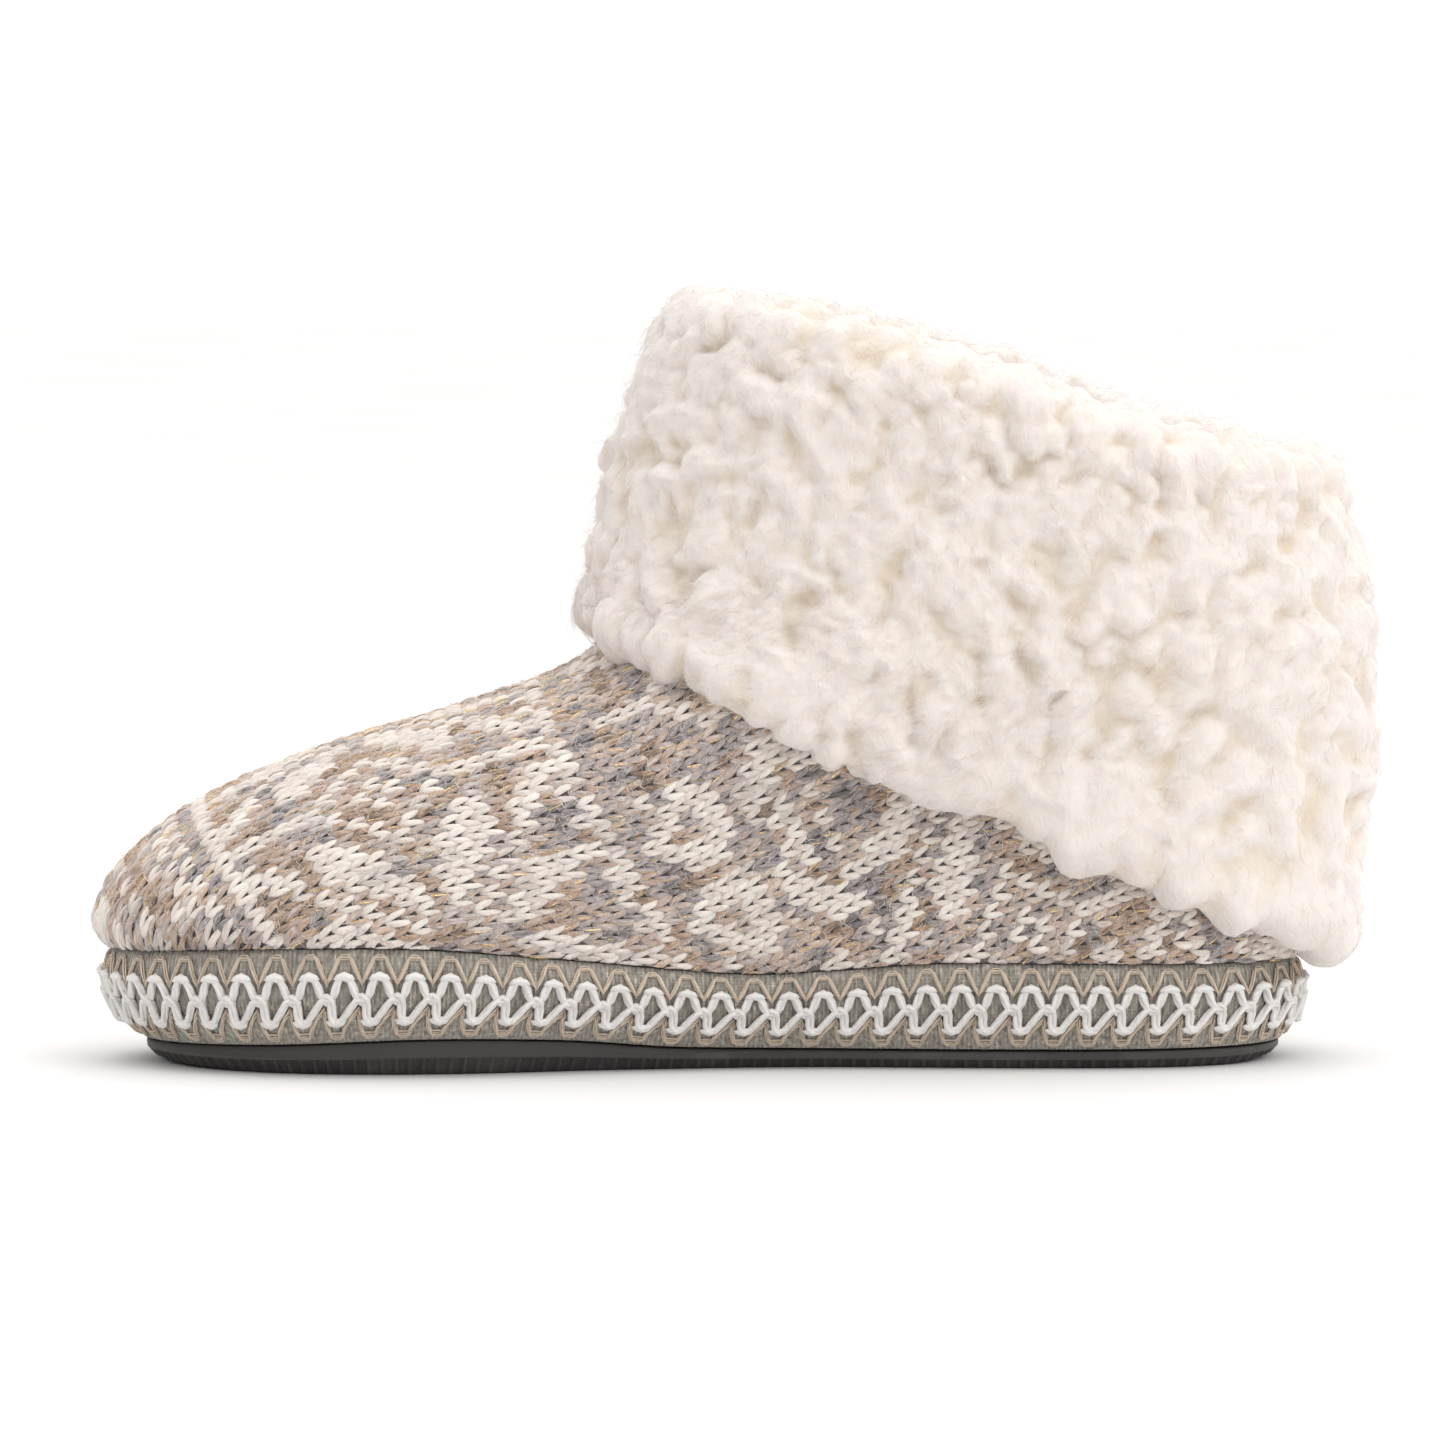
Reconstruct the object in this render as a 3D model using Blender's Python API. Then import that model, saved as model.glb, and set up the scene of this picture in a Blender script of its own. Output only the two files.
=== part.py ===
"""Slipper boot for the right foot: rubber outsole, knit-wrapped platform, crochet braid, insole, knit upper
and a turned-down pile cuff. Metres, +Z up, toe towards -X, inner side of the foot towards -Y.
The origin lies on the floor under the middle of the platform.
"""

import bpy
import numpy as np

# Driving sizes of the last and the platform
PLATFORM_LENGTH = 0.2564
BALL_WIDTH = 0.097
HEEL_WIDTH = 0.070
TOE_SWING = 0.005
PLATFORM_HEIGHT = 0.0190
HEEL_TUCK = 0.0036
TOE_TUCK = 0.0076
PLATFORM_TOP_TUCK = 0.0009

# Rubber outsole
OUTSOLE_EDGE = 0.0076
OUTSOLE_STEP = 0.0006
TOE_RISE = 0.0016
HEEL_RISE = 0.0018
RIB_PITCH = 0.0030
RIB_DEPTH = 0.0009
RIB_BAND = 0.50
BEVEL_SLOPE = 0.95

# Crochet braid round the platform's side
BRAID_PITCH = 0.0073
BRAID_THICKNESS = 0.0012
BRAID_TOP_GAP = 0.0016
BRAID_FOOT_GAP = 0.0008
SCALLOP_DEPTH = 0.0030
WINDOW_WIDTH = 0.0026

# Insole and upper
INSOLE_THICKNESS = 0.0045
UPPER_WALL = 0.0026
FEATHER_INSET = 0.0010
COLLAR_FRONT_HEIGHT = 0.1335
COLLAR_BACK_HEIGHT = 0.1005
COLLAR_WIDTH = 0.079
COLLAR_CROWN = 0.0055

# Turned-down pile cuff
PILE = 0.0125
PILE_EDGE = 0.0045
PILE_THINNING = 0.14
LINING_PILE = 0.0055
CUFF_ROLL = 0.0085
INSTEP_STATION = 0.61
CUFF_INSTEP_DROP = 0.0625
CUFF_HEEL_DROP = 0.0970
CLUMP = 0.0016
CLUMP_SEED = 7

# Fit and fineness
CLEARANCE = 0.0004
COLUMNS = 48
BODY_ROWS = 8
CUFF_ROWS = 8
LINING_ROWS = 3
ROLL_ROWS = 5

# Plan of the platform, from the heel to the toe. ball_part says how much of the local width follows the
# ball and not the heel. The two sides are half-widths as shares of that width, of the ellipse through them.
OUTLINE_COLUMNS = ("station", "ball_part", "inner_side", "outer_side")
OUTLINE = (
    (0.00, 0.0, 0.93, 0.93),
    (0.10, 0.0, 0.75, 0.75),
    (0.25, 0.0, 0.565, 0.60),
    (0.40, 0.4, 0.408, 0.50),
    (0.55, 0.8, 0.415, 0.487),
    (0.70, 1.0, 0.537, 0.534),
    (0.85, 1.0, 0.655, 0.580),
    (1.00, 1.0, 0.735, 0.640),
)

# Heights along the platform: the outsole's top edge as a share of OUTSOLE_EDGE, and the platform over it as
# a share of PLATFORM_HEIGHT.
EDGE_COLUMNS = ("station", "edge", "platform")
EDGE_LINE = (
    (0.00, 0.54, 0.95),
    (0.20, 0.52, 0.99),
    (0.31, 0.52, 0.99),
    (0.40, 0.53, 0.90),
    (0.46, 0.56, 0.86),
    (0.52, 0.62, 0.90),
    (0.62, 0.90, 0.94),
    (0.72, 1.00, 1.03),
    (0.86, 0.80, 1.11),
    (1.00, 0.60, 1.05),
)

# Rings of the upper, from the platform to the collar. back and front are stations on the platform's
# length, rise is the height over the platform as a share of the collar's height there, round is how far
# that end has left the platform's outline for the collar's ellipse, and width is a share of COLLAR_WIDTH.
RING_COLUMNS = (
    "back",
    "back_rise",
    "front",
    "front_rise",
    "back_round",
    "front_round",
    "width",
    "swell",
)
RINGS = (
    (0.0000, 0.000, 1.000, 0.000, 0.00, 0.00, 1.18, 0.000),
    (-0.008, 0.070, 1.010, 0.048, 0.00, 0.02, 1.18, 0.018),
    (-0.012, 0.180, 0.984, 0.141, 0.03, 0.12, 1.16, 0.012),
    (-0.016, 0.310, 0.921, 0.240, 0.10, 0.42, 1.13, -0.02),
    (-0.019, 0.430, 0.820, 0.331, 0.20, 0.78, 1.09, -0.06),
    (-0.020, 0.537, 0.711, 0.396, 0.34, 0.96, 1.06, -0.10),
    (-0.0195, 0.627, 0.613, 0.465, 0.50, 1.00, 1.03, -0.12),
    (-0.016, 0.716, 0.564, 0.558, 0.66, 1.00, 1.01, -0.12),
    (-0.009, 0.816, 0.543, 0.705, 0.80, 1.00, 1.00, -0.12),
    (-0.0004, 0.915, 0.523, 0.868, 0.92, 1.00, 1.00, -0.12),
    (0.0086, 1.000, 0.492, 1.000, 1.00, 1.00, 1.00, -0.12),
)

# Colours, linear, with roughness
FINISHES = {
    "rubber_black": ((0.035, 0.033, 0.034), 0.55),
    "knit_grey": ((0.33, 0.31, 0.28), 0.90),
    "braid_cream": ((0.78, 0.75, 0.70), 0.90),
    "fleece_insole": ((0.86, 0.83, 0.78), 0.95),
    "knit_beige": ((0.56, 0.50, 0.45), 0.90),
    "pile_cream": ((0.90, 0.87, 0.82), 0.95),
}


def clear_scene():
    for obj in list(bpy.data.objects):
        bpy.data.objects.remove(obj, do_unlink=True)


def column(table, names, name):
    return np.array([row[names.index(name)] for row in table])


def eased(value):
    """0 below 0 and 1 above 1, with a smooth step between."""
    share = np.clip(value, 0.0, 1.0)
    return share * share * (3 - 2 * share)


def curve_through(knots, values, at):
    """A smooth curve through the values at the knots, with flat slopes at neither end."""
    at = np.clip(np.asarray(at, float), knots[0], knots[-1])
    slopes = np.gradient(values, knots)
    place = np.clip(np.searchsorted(knots, at, side="right") - 1, 0, len(knots) - 2)
    span = knots[place + 1] - knots[place]
    share = (at - knots[place]) / span
    square, cube = share**2, share**3
    return (
        (2 * cube - 3 * square + 1) * values[place]
        + (cube - 2 * square + share) * span * slopes[place]
        + (3 * square - 2 * cube) * values[place + 1]
        + (cube - square) * span * slopes[place + 1]
    )


def x_at(station):
    """X of a station, which runs from 0 at the platform's heel to 1 at its toe."""
    return PLATFORM_LENGTH * (0.5 - station)


def station_at(x):
    return 0.5 - x / PLATFORM_LENGTH


def swing(station):
    """Y of the last's axis, which bends inwards to the toe."""
    return -TOE_SWING * np.clip(station, 0, 1) ** 2


def end_rounding(station):
    return 2 * np.sqrt(np.clip(station * (1 - station), 0, None))


def platform_half_width(station, inner):
    """Half-widths of the platform on the inner side where inner is true, and on the outer side elsewhere."""
    knots = column(OUTLINE, OUTLINE_COLUMNS, "station")
    ball_part = curve_through(
        knots, column(OUTLINE, OUTLINE_COLUMNS, "ball_part"), station
    )
    width = HEEL_WIDTH + (BALL_WIDTH - HEEL_WIDTH) * ball_part
    share_in = curve_through(
        knots, column(OUTLINE, OUTLINE_COLUMNS, "inner_side"), station
    )
    share_out = curve_through(
        knots, column(OUTLINE, OUTLINE_COLUMNS, "outer_side"), station
    )
    return width * np.where(inner, share_in, share_out) * end_rounding(station)


def edge_height(station):
    """Height of the outsole's top edge over the floor."""
    knots = column(EDGE_LINE, EDGE_COLUMNS, "station")
    return OUTSOLE_EDGE * curve_through(
        knots, column(EDGE_LINE, EDGE_COLUMNS, "edge"), station
    )


def platform_top(station):
    knots = column(EDGE_LINE, EDGE_COLUMNS, "station")
    share = curve_through(knots, column(EDGE_LINE, EDGE_COLUMNS, "platform"), station)
    return edge_height(station) + PLATFORM_HEIGHT * share


def floor_rise(station):
    """Height of the sole's bottom over the floor: flat but for its two ends."""
    heel = np.clip((0.07 - station) / 0.07, 0, 1)
    toe = np.clip((station - 0.86) / 0.14, 0, 1)
    return HEEL_RISE * heel**2 + TOE_RISE * toe**2


def outline_point(angle):
    """The platform's outline at angles from the heel (0) by the inner side to the toe (pi) and back."""
    station = (1 - np.cos(angle)) / 2
    inner = np.sin(angle) >= 0
    side = np.where(inner, -1, 1)
    return np.stack(
        [x_at(station), swing(station) + side * platform_half_width(station, inner)],
        axis=-1,
    )


def inset_outline(angle, inset):
    """The outline moved inwards by inset, square to itself."""
    step = 0.01
    along = outline_point(angle + step) - outline_point(angle - step)
    along /= np.linalg.norm(along, axis=-1, keepdims=True)
    inwards = np.stack([along[..., 1], -along[..., 0]], axis=-1)
    middle = np.array([0.0, 0.0])
    towards = middle - outline_point(angle)
    flip = np.where(np.sum(inwards * towards, axis=-1, keepdims=True) < 0, -1, 1)
    return outline_point(angle) + flip * inwards * np.reshape(inset, (-1, 1))


def even_angles(pieces_per_side, parts, inset):
    """Angles that cut each side of the inset outline into equal pieces, and each piece at the given parts."""
    angles = []
    for start in (0.0, np.pi):
        fine = start + np.linspace(0, np.pi, 721)
        points = inset_outline(fine, inset)
        length = np.concatenate(
            [[0], np.cumsum(np.linalg.norm(np.diff(points, axis=0), axis=1))]
        )
        wanted = [
            (piece + part) / pieces_per_side * length[-1]
            for piece in range(pieces_per_side)
            for part in parts
        ]
        angles.append(np.interp(wanted, length, fine))
    return np.concatenate(angles)


def side_length(inset):
    """Mean length of one side of the inset outline, from heel to toe."""
    points = inset_outline(np.linspace(0, 2 * np.pi, 1441), inset)
    return np.sum(np.linalg.norm(np.diff(points, axis=0), axis=1)) / 2


def foot_inset(angle):
    """How far the platform's foot stands inside its plan, which is tucked under most at the toe."""
    return HEEL_TUCK + (TOE_TUCK - HEEL_TUCK) * (1 - np.cos(angle)) / 2


def side_inset(angle, share):
    """How far the platform's side stands inside its plan at a share of its height."""
    under = np.clip(1 - share / 0.8, 0, None) ** 2.2
    over = np.clip((share - 0.7) / 0.3, 0, None) ** 2
    return foot_inset(angle) * under + PLATFORM_TOP_TUCK * over


def level_loop(angle, inset, height_of_station):
    """A loop at the inset outline, each point at the height for its own station."""
    plan = inset_outline(angle, inset)
    height = height_of_station(station_at(plan[:, 0]))
    return np.column_stack([plan, height])


def mesh_object(name, points, faces, finish):
    mesh = bpy.data.meshes.new(name)
    mesh.from_pydata([tuple(map(float, point)) for point in points], [], faces)
    mesh.validate()
    mesh.update()
    obj = bpy.data.objects.new(name, mesh)
    bpy.context.scene.collection.objects.link(obj)
    mesh.materials.append(material(finish))
    mesh.shade_smooth()
    mesh.set_sharp_from_angle(angle=np.radians(38))
    return obj


def material(finish):
    found = bpy.data.materials.get(finish)
    if found:
        return found
    colour, roughness = FINISHES[finish]
    made = bpy.data.materials.new(finish)
    made.use_nodes = True
    shader = made.node_tree.nodes["Principled BSDF"]
    shader.inputs["Base Color"].default_value = (*colour, 1)
    shader.inputs["Roughness"].default_value = roughness
    shader.inputs["Metallic"].default_value = 0
    made.diffuse_color = (*colour, 1)
    return made


def band_faces(rows, columns, closed_rows=False, flip=False):
    """Quads between neighbouring loops, which all have the same number of points."""
    faces = []
    for row in range(rows if closed_rows else rows - 1):
        lower = row * columns
        upper = ((row + 1) % rows) * columns
        for start in range(columns):
            end = (start + 1) % columns
            corners = (lower + start, lower + end, upper + end, upper + start)
            faces.append(corners[:1] + corners[:0:-1] if flip else corners)
    return faces


def lid_faces(first, columns, upwards):
    """Strips across a loop, from its inner side to its outer side, that close it."""
    half = columns // 2
    faces = []
    for step in range(half):
        inner_a, inner_b = first + step, first + step + 1
        outer_a = first + (columns - step) % columns
        outer_b = first + (columns - step - 1) % columns
        corners = [inner_a, inner_b, outer_b, outer_a]
        tidy = [c for k, c in enumerate(corners) if c not in corners[:k]]
        faces.append(tuple(tidy if upwards else reversed(tidy)))
    return faces


def slab(name, loops, finish):
    """A solid from loops stacked upwards, closed by a lid at each end."""
    columns = len(loops[0])
    faces = band_faces(len(loops), columns, flip=True)
    faces += lid_faces(0, columns, upwards=True)
    faces += lid_faces((len(loops) - 1) * columns, columns, upwards=False)
    return mesh_object(name, np.vstack(loops), faces, finish)


def outsole():
    """Rubber sole: a plain wall over a bevel that is cut into ribs all the way round."""
    middle_inset = (HEEL_TUCK + TOE_TUCK) / 2 + OUTSOLE_STEP
    ribs = round(side_length(middle_inset) / RIB_PITCH)
    angle = even_angles(ribs, (0.0, 0.5), middle_inset)
    inset = foot_inset(angle) + OUTSOLE_STEP
    groove = np.where(np.arange(len(angle)) % 2 == 0, 0.0, RIB_DEPTH)

    def rib_top(station):
        bottom = floor_rise(station)
        return bottom + (edge_height(station) - bottom) * RIB_BAND

    plan = inset_outline(angle, inset)
    bevel = rib_top(station_at(plan[:, 0])) * BEVEL_SLOPE
    loops = [
        level_loop(angle, inset + bevel + groove, floor_rise),
        level_loop(angle, inset, rib_top),
        level_loop(angle, inset, edge_height),
    ]
    return slab("outsole", loops, "rubber_black")


def platform_loop(angle, share, outwards=0.0):
    """A loop on the platform's side at a share of its height, moved outwards."""
    plan_inset = side_inset(angle, share) - outwards

    def height(station):
        foot = edge_height(station) + CLEARANCE
        return foot + (platform_top(station) - foot) * share

    return level_loop(angle, plan_inset, height)


def platform():
    """Foam platform in its grey knit wrap, tucked under towards the outsole."""
    angle = np.arange(COLUMNS) * 2 * np.pi / COLUMNS
    loops = [platform_loop(angle, share) for share in (0, *window_rows(), 1)]
    return slab("platform", loops, "knit_grey")


def window_rows():
    """Foot and head of the braid's windows, as shares of the platform's height."""
    foot = BRAID_FOOT_GAP + SCALLOP_DEPTH * 1.9
    head = BRAID_TOP_GAP + SCALLOP_DEPTH * 1.5
    return foot / PLATFORM_HEIGHT, 1 - head / PLATFORM_HEIGHT


def braid():
    """Crochet braid: one wall with a window in each repeat and scallops along both edges."""
    repeats = round(side_length(0.0) / BRAID_PITCH)
    half_window = WINDOW_WIDTH / BRAID_PITCH / 2
    parts = (0.0, 0.5 - half_window, 0.5 + half_window)
    angle = even_angles(repeats, parts, 0.0)
    valley = np.arange(len(angle)) % len(parts) == 0
    foot = np.where(valley, BRAID_FOOT_GAP + SCALLOP_DEPTH, BRAID_FOOT_GAP)
    head = np.where(valley, BRAID_TOP_GAP + SCALLOP_DEPTH, BRAID_TOP_GAP)
    window_foot, window_head = window_rows()
    rows = (
        foot / PLATFORM_HEIGHT,
        np.full(len(angle), window_foot),
        np.full(len(angle), window_head),
        1 - head / PLATFORM_HEIGHT,
    )
    near = CLEARANCE * 1.6
    far = near + BRAID_THICKNESS
    skins = [[platform_loop(angle, row, out) for row in rows] for out in (near, far)]
    return mesh_object("braid", *windowed_wall(*skins, len(parts)), "braid_cream")


def windowed_wall(inner_skin, outer_skin, parts):
    """Points and faces of a ring wall whose middle row has a hole in one column of each repeat."""
    rows, columns = len(inner_skin), len(inner_skin[0])
    points = np.vstack(inner_skin + outer_skin)
    shift = rows * columns
    faces = []
    for row in range(rows - 1):
        for start in range(columns):
            end = (start + 1) % columns
            low_a, low_b = row * columns + start, row * columns + end
            top_a, top_b = low_a + columns, low_b + columns
            if row == 1 and start % parts == 1:
                corners = (low_a, low_b, top_b, top_a)
                for k in range(4):
                    a, b = corners[k], corners[(k + 1) % 4]
                    faces.append((a, b, b + shift, a + shift))
                continue
            faces.append((low_a, low_b, top_b, top_a))
            faces.append((low_b + shift, low_a + shift, top_a + shift, top_b + shift))
    top = (rows - 1) * columns
    for start in range(columns):
        end = (start + 1) % columns
        faces.append((end, start, start + shift, end + shift))
        faces.append(
            (top + start, top + end, top + end + shift, top + start + shift)
        )
    return points, faces


def insole():
    """Fleece footbed that lies on the platform inside the upper."""
    angle = np.arange(COLUMNS) * 2 * np.pi / COLUMNS
    inset = np.full(COLUMNS, FEATHER_INSET + UPPER_WALL + 2 * CLEARANCE)
    under = level_loop(angle, inset, lambda s: platform_top(s) + CLEARANCE)
    over = level_loop(
        angle, inset, lambda s: platform_top(s) + CLEARANCE + INSOLE_THICKNESS
    )
    return slab("insole", [under, over], "fleece_insole")


def ring_value(name, level):
    knots = np.linspace(0, 1, len(RINGS))
    return curve_through(knots, column(RINGS, RING_COLUMNS, name), level)


def last_point(angle, level):
    """The upper's outside at an angle round the foot and a level from the platform (0) to the collar (1)."""
    angle, level = np.broadcast_arrays(
        np.asarray(angle, float), np.asarray(level, float)
    )
    share = (1 - np.cos(angle)) / 2
    inner = np.sin(angle) >= 0
    x = x_at(
        ring_value("back", level) * (1 - share) + ring_value("front", level) * share
    )
    rise = (
        ring_value("back_rise", level) * COLLAR_BACK_HEIGHT * (1 - share)
        + ring_value("front_rise", level) * COLLAR_FRONT_HEIGHT * share
    )
    ground = platform_top(0.5) * np.ones_like(x)
    ground += (platform_top(station_at(x)) - ground) * (1 - eased(level / 0.45))
    crown = COLLAR_CROWN * share**3 * (1 - share) / (0.75**3 * 0.25) * eased(level)
    z = ground + CLEARANCE + rise + crown

    round_part = ring_value("back_round", level) * (1 - share)
    round_part = round_part + ring_value("front_round", level) * share
    foot = platform_half_width(share, inner) * (1 + ring_value("swell", level))
    collar = ring_value("width", level) * COLLAR_WIDTH / 2 * end_rounding(share)
    half = foot * (1 - round_part) + collar * round_part
    half = half - FEATHER_INSET * (1 - eased(level / 0.08)) * end_rounding(share)
    y = swing(station_at(x)) * (1 - eased(level)) + np.where(inner, -1, 1) * half
    return np.stack([x, y, z], axis=-1)


def last_frame(angle, level):
    """The point, the outward normal and the upward direction of the upper's outside."""
    step = 0.002
    round_step = 0.02
    upper_level = np.minimum(level + step, 1)
    lower_level = np.maximum(level - step, 0)
    up = last_point(angle, upper_level) - last_point(angle, lower_level)
    up /= np.linalg.norm(up, axis=-1, keepdims=True)
    along = last_point(angle + round_step, level) - last_point(
        angle - round_step, level
    )
    normal = np.cross(up, along)
    normal /= np.linalg.norm(normal, axis=-1, keepdims=True)
    return last_point(angle, level), normal, up


def wall_rows(angle):
    """Levels of the upper's rows: those below the cuff's edge, and those that the cuff's rows lie against."""
    edge = cuff_edge_level(angle)
    body = [edge * row / BODY_ROWS for row in range(BODY_ROWS)]
    shaft = [edge + (1 - edge) * row / CUFF_ROWS for row in range(CUFF_ROWS + 1)]
    return body, shaft


def upper():
    """Knit upper: one wall, open at the collar and underneath."""
    angle = np.arange(COLUMNS) * 2 * np.pi / COLUMNS
    body, shaft = wall_rows(angle)
    outside = [last_point(angle, level) for level in body + shaft]
    inside = []
    for level in body[::2] + shaft[: -LINING_ROWS - 1 : 2] + shaft[-LINING_ROWS - 1 :]:
        point, normal, _ = last_frame(angle, level)
        wall = normal * UPPER_WALL
        wall[:, 2] *= level > 0
        inside.append(point - wall)
    loops = outside + inside[::-1]
    faces = band_faces(len(loops), COLUMNS, closed_rows=True, flip=True)
    return mesh_object("upper", np.vstack(loops), faces, "knit_beige")


def cuff_edge_level(angle):
    """The level of the cuff's lower edge, which falls straight from the instep to the heel."""
    rim = last_point(np.array([0.0, np.pi]), np.ones(2))[:, 2]
    heel, instep = rim[0] - CUFF_HEEL_DROP, rim[1] - CUFF_INSTEP_DROP
    low, high = np.zeros_like(angle), np.ones_like(angle)
    for _ in range(40):
        middle = (low + high) / 2
        point = last_point(angle, middle)
        share = station_at(point[..., 0]) / INSTEP_STATION
        under = point[..., 2] < heel + (instep - heel) * share
        low, high = np.where(under, middle, low), np.where(under, high, middle)
    return (low + high) / 2


def cuff():
    """Turned-down pile cuff: it grips the collar's rim, lines its inside and hangs outside, deep and lumpy."""
    angle = np.arange(COLUMNS) * 2 * np.pi / COLUMNS
    clumps = np.random.default_rng(CLUMP_SEED)
    rim, rim_normal, rim_up = last_frame(angle, np.ones(COLUMNS))
    outside = wall_rows(angle)[1]
    inside = outside[-1 : -LINING_ROWS - 2 : -1]
    edge = outside[0]
    near = CLEARANCE
    far = UPPER_WALL + CLEARANCE
    over = rim_up * CLEARANCE
    loops = []

    def skin(level, out):
        point, normal, _ = last_frame(angle, level)
        loops.append(point + normal * np.reshape(out, (-1, 1)))

    def lumps():
        return clumps.uniform(-1, 1, COLUMNS) * CLUMP

    # Against the upper: up the outside, over the rim and down the inside
    for level in outside:
        skin(level, near)
    loops[-1] = loops[-1] + over
    for level in inside:
        skin(level, -far)
    loops[-LINING_ROWS - 1] += over

    # The pile: up the lining, over the roll and down the outside to a rounded edge
    skin(inside[-1], -far - LINING_PILE * 0.8)
    for level in inside[-2:0:-1]:
        skin(level, -far - LINING_PILE)
    centre = rim - rim_normal * UPPER_WALL / 2
    for turn in np.linspace(0, np.pi, ROLL_ROWS):
        pile = LINING_PILE if turn < np.pi / 2 else PILE
        reach = (UPPER_WALL / 2 + CLEARANCE + pile) * np.cos(turn)
        height = CUFF_ROLL * np.sin(turn) + lumps() * np.sin(turn)
        loops.append(centre - rim_normal * reach + rim_up * height.reshape(-1, 1))
    for row, level in enumerate(outside[-2:0:-1]):
        thinner = 1 - PILE_THINNING * row / CUFF_ROWS
        skin(level, near + PILE * thinner + lumps())
    skin(edge + (outside[1] - edge) * 0.3, near + PILE * 0.75 + lumps() / 2)
    skin(edge, near + PILE_EDGE)
    faces = band_faces(len(loops), COLUMNS, closed_rows=True)
    return mesh_object("cuff", np.vstack(loops), faces, "pile_cream")


def main():
    clear_scene()
    outsole()
    platform()
    braid()
    insole()
    upper()
    cuff()


main()
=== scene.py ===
"""Slipper boot for the right foot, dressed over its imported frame: ribbed rubber outsole,
jersey-wrapped platform with a crochet braid, patterned knit upper, fleece lining and footbed,
and a turned-down pile cuff.
Metres, +Z up, toe towards -X, inner side of the foot towards -Y.
"""

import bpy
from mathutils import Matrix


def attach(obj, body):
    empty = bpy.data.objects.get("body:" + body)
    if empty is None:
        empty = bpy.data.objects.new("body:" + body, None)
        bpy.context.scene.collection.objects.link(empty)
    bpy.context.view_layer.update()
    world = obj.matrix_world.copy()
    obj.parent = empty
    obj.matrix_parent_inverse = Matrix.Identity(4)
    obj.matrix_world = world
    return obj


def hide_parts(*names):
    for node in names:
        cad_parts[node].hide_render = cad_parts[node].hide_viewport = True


bl_info = {
    "name": "Slipper boot with pile cuff",
    "version": (1, 0, 0),
    "blender": (4, 5, 0),
    "location": "View3D > Sidebar > Boot",
    "description": "Dresses the slipper boot with rubber, jersey, braid, knit and pile",
    "category": "Object",
}

from math import cos, pi, radians, sin, tau

import bpy
import numpy as np
from mathutils import Vector

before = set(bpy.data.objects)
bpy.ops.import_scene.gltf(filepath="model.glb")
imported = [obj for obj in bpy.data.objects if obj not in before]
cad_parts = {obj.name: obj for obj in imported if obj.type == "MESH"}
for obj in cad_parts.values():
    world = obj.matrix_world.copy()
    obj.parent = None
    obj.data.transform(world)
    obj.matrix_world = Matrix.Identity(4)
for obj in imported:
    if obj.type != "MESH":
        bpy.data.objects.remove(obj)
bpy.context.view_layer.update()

# The last and the platform, as the frame has them
PLATFORM_LENGTH = 0.2564
BALL_WIDTH = 0.097
HEEL_WIDTH = 0.070
TOE_SWING = 0.005
PLATFORM_HEIGHT = 0.0190
HEEL_TUCK = 0.0036
TOE_TUCK = 0.0076
PLATFORM_TOP_TUCK = 0.0009
OUTSOLE_EDGE = 0.0076
OUTSOLE_STEP = 0.0006
TOE_RISE = 0.0016
HEEL_RISE = 0.0018
RIB_PITCH = 0.0030
RIB_DEPTH = 0.0009
RIB_BAND = 0.52
BEVEL_SLOPE = 0.95
BRAID_PITCH = 0.0073
INSOLE_THICKNESS = 0.0045
UPPER_WALL = 0.0026
FEATHER_INSET = 0.0010
COLLAR_FRONT_HEIGHT = 0.1335
COLLAR_BACK_HEIGHT = 0.1005
COLLAR_WIDTH = 0.079
COLLAR_CROWN = 0.0055
PILE_THINNING = 0.14
CUFF_ROLL = 0.0085
INSTEP_STATION = 0.61
CUFF_INSTEP_DROP = 0.0625
CUFF_HEEL_DROP = 0.0970
CLEARANCE = 0.0004

OUTLINE_COLUMNS = ("station", "ball_part", "inner_side", "outer_side")
OUTLINE = (
    (0.00, 0.0, 0.93, 0.93),
    (0.10, 0.0, 0.75, 0.75),
    (0.25, 0.0, 0.565, 0.60),
    (0.40, 0.4, 0.408, 0.50),
    (0.55, 0.8, 0.415, 0.487),
    (0.70, 1.0, 0.537, 0.534),
    (0.85, 1.0, 0.655, 0.580),
    (1.00, 1.0, 0.735, 0.640),
)
EDGE_COLUMNS = ("station", "edge", "platform")
EDGE_LINE = (
    (0.00, 0.54, 0.95),
    (0.20, 0.52, 0.99),
    (0.31, 0.52, 0.99),
    (0.40, 0.53, 0.90),
    (0.46, 0.56, 0.86),
    (0.52, 0.62, 0.90),
    (0.62, 0.90, 0.94),
    (0.72, 1.00, 1.03),
    (0.86, 0.80, 1.11),
    (1.00, 0.60, 1.05),
)
RING_COLUMNS = (
    "back",
    "back_rise",
    "front",
    "front_rise",
    "back_round",
    "front_round",
    "width",
    "swell",
)
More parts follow.
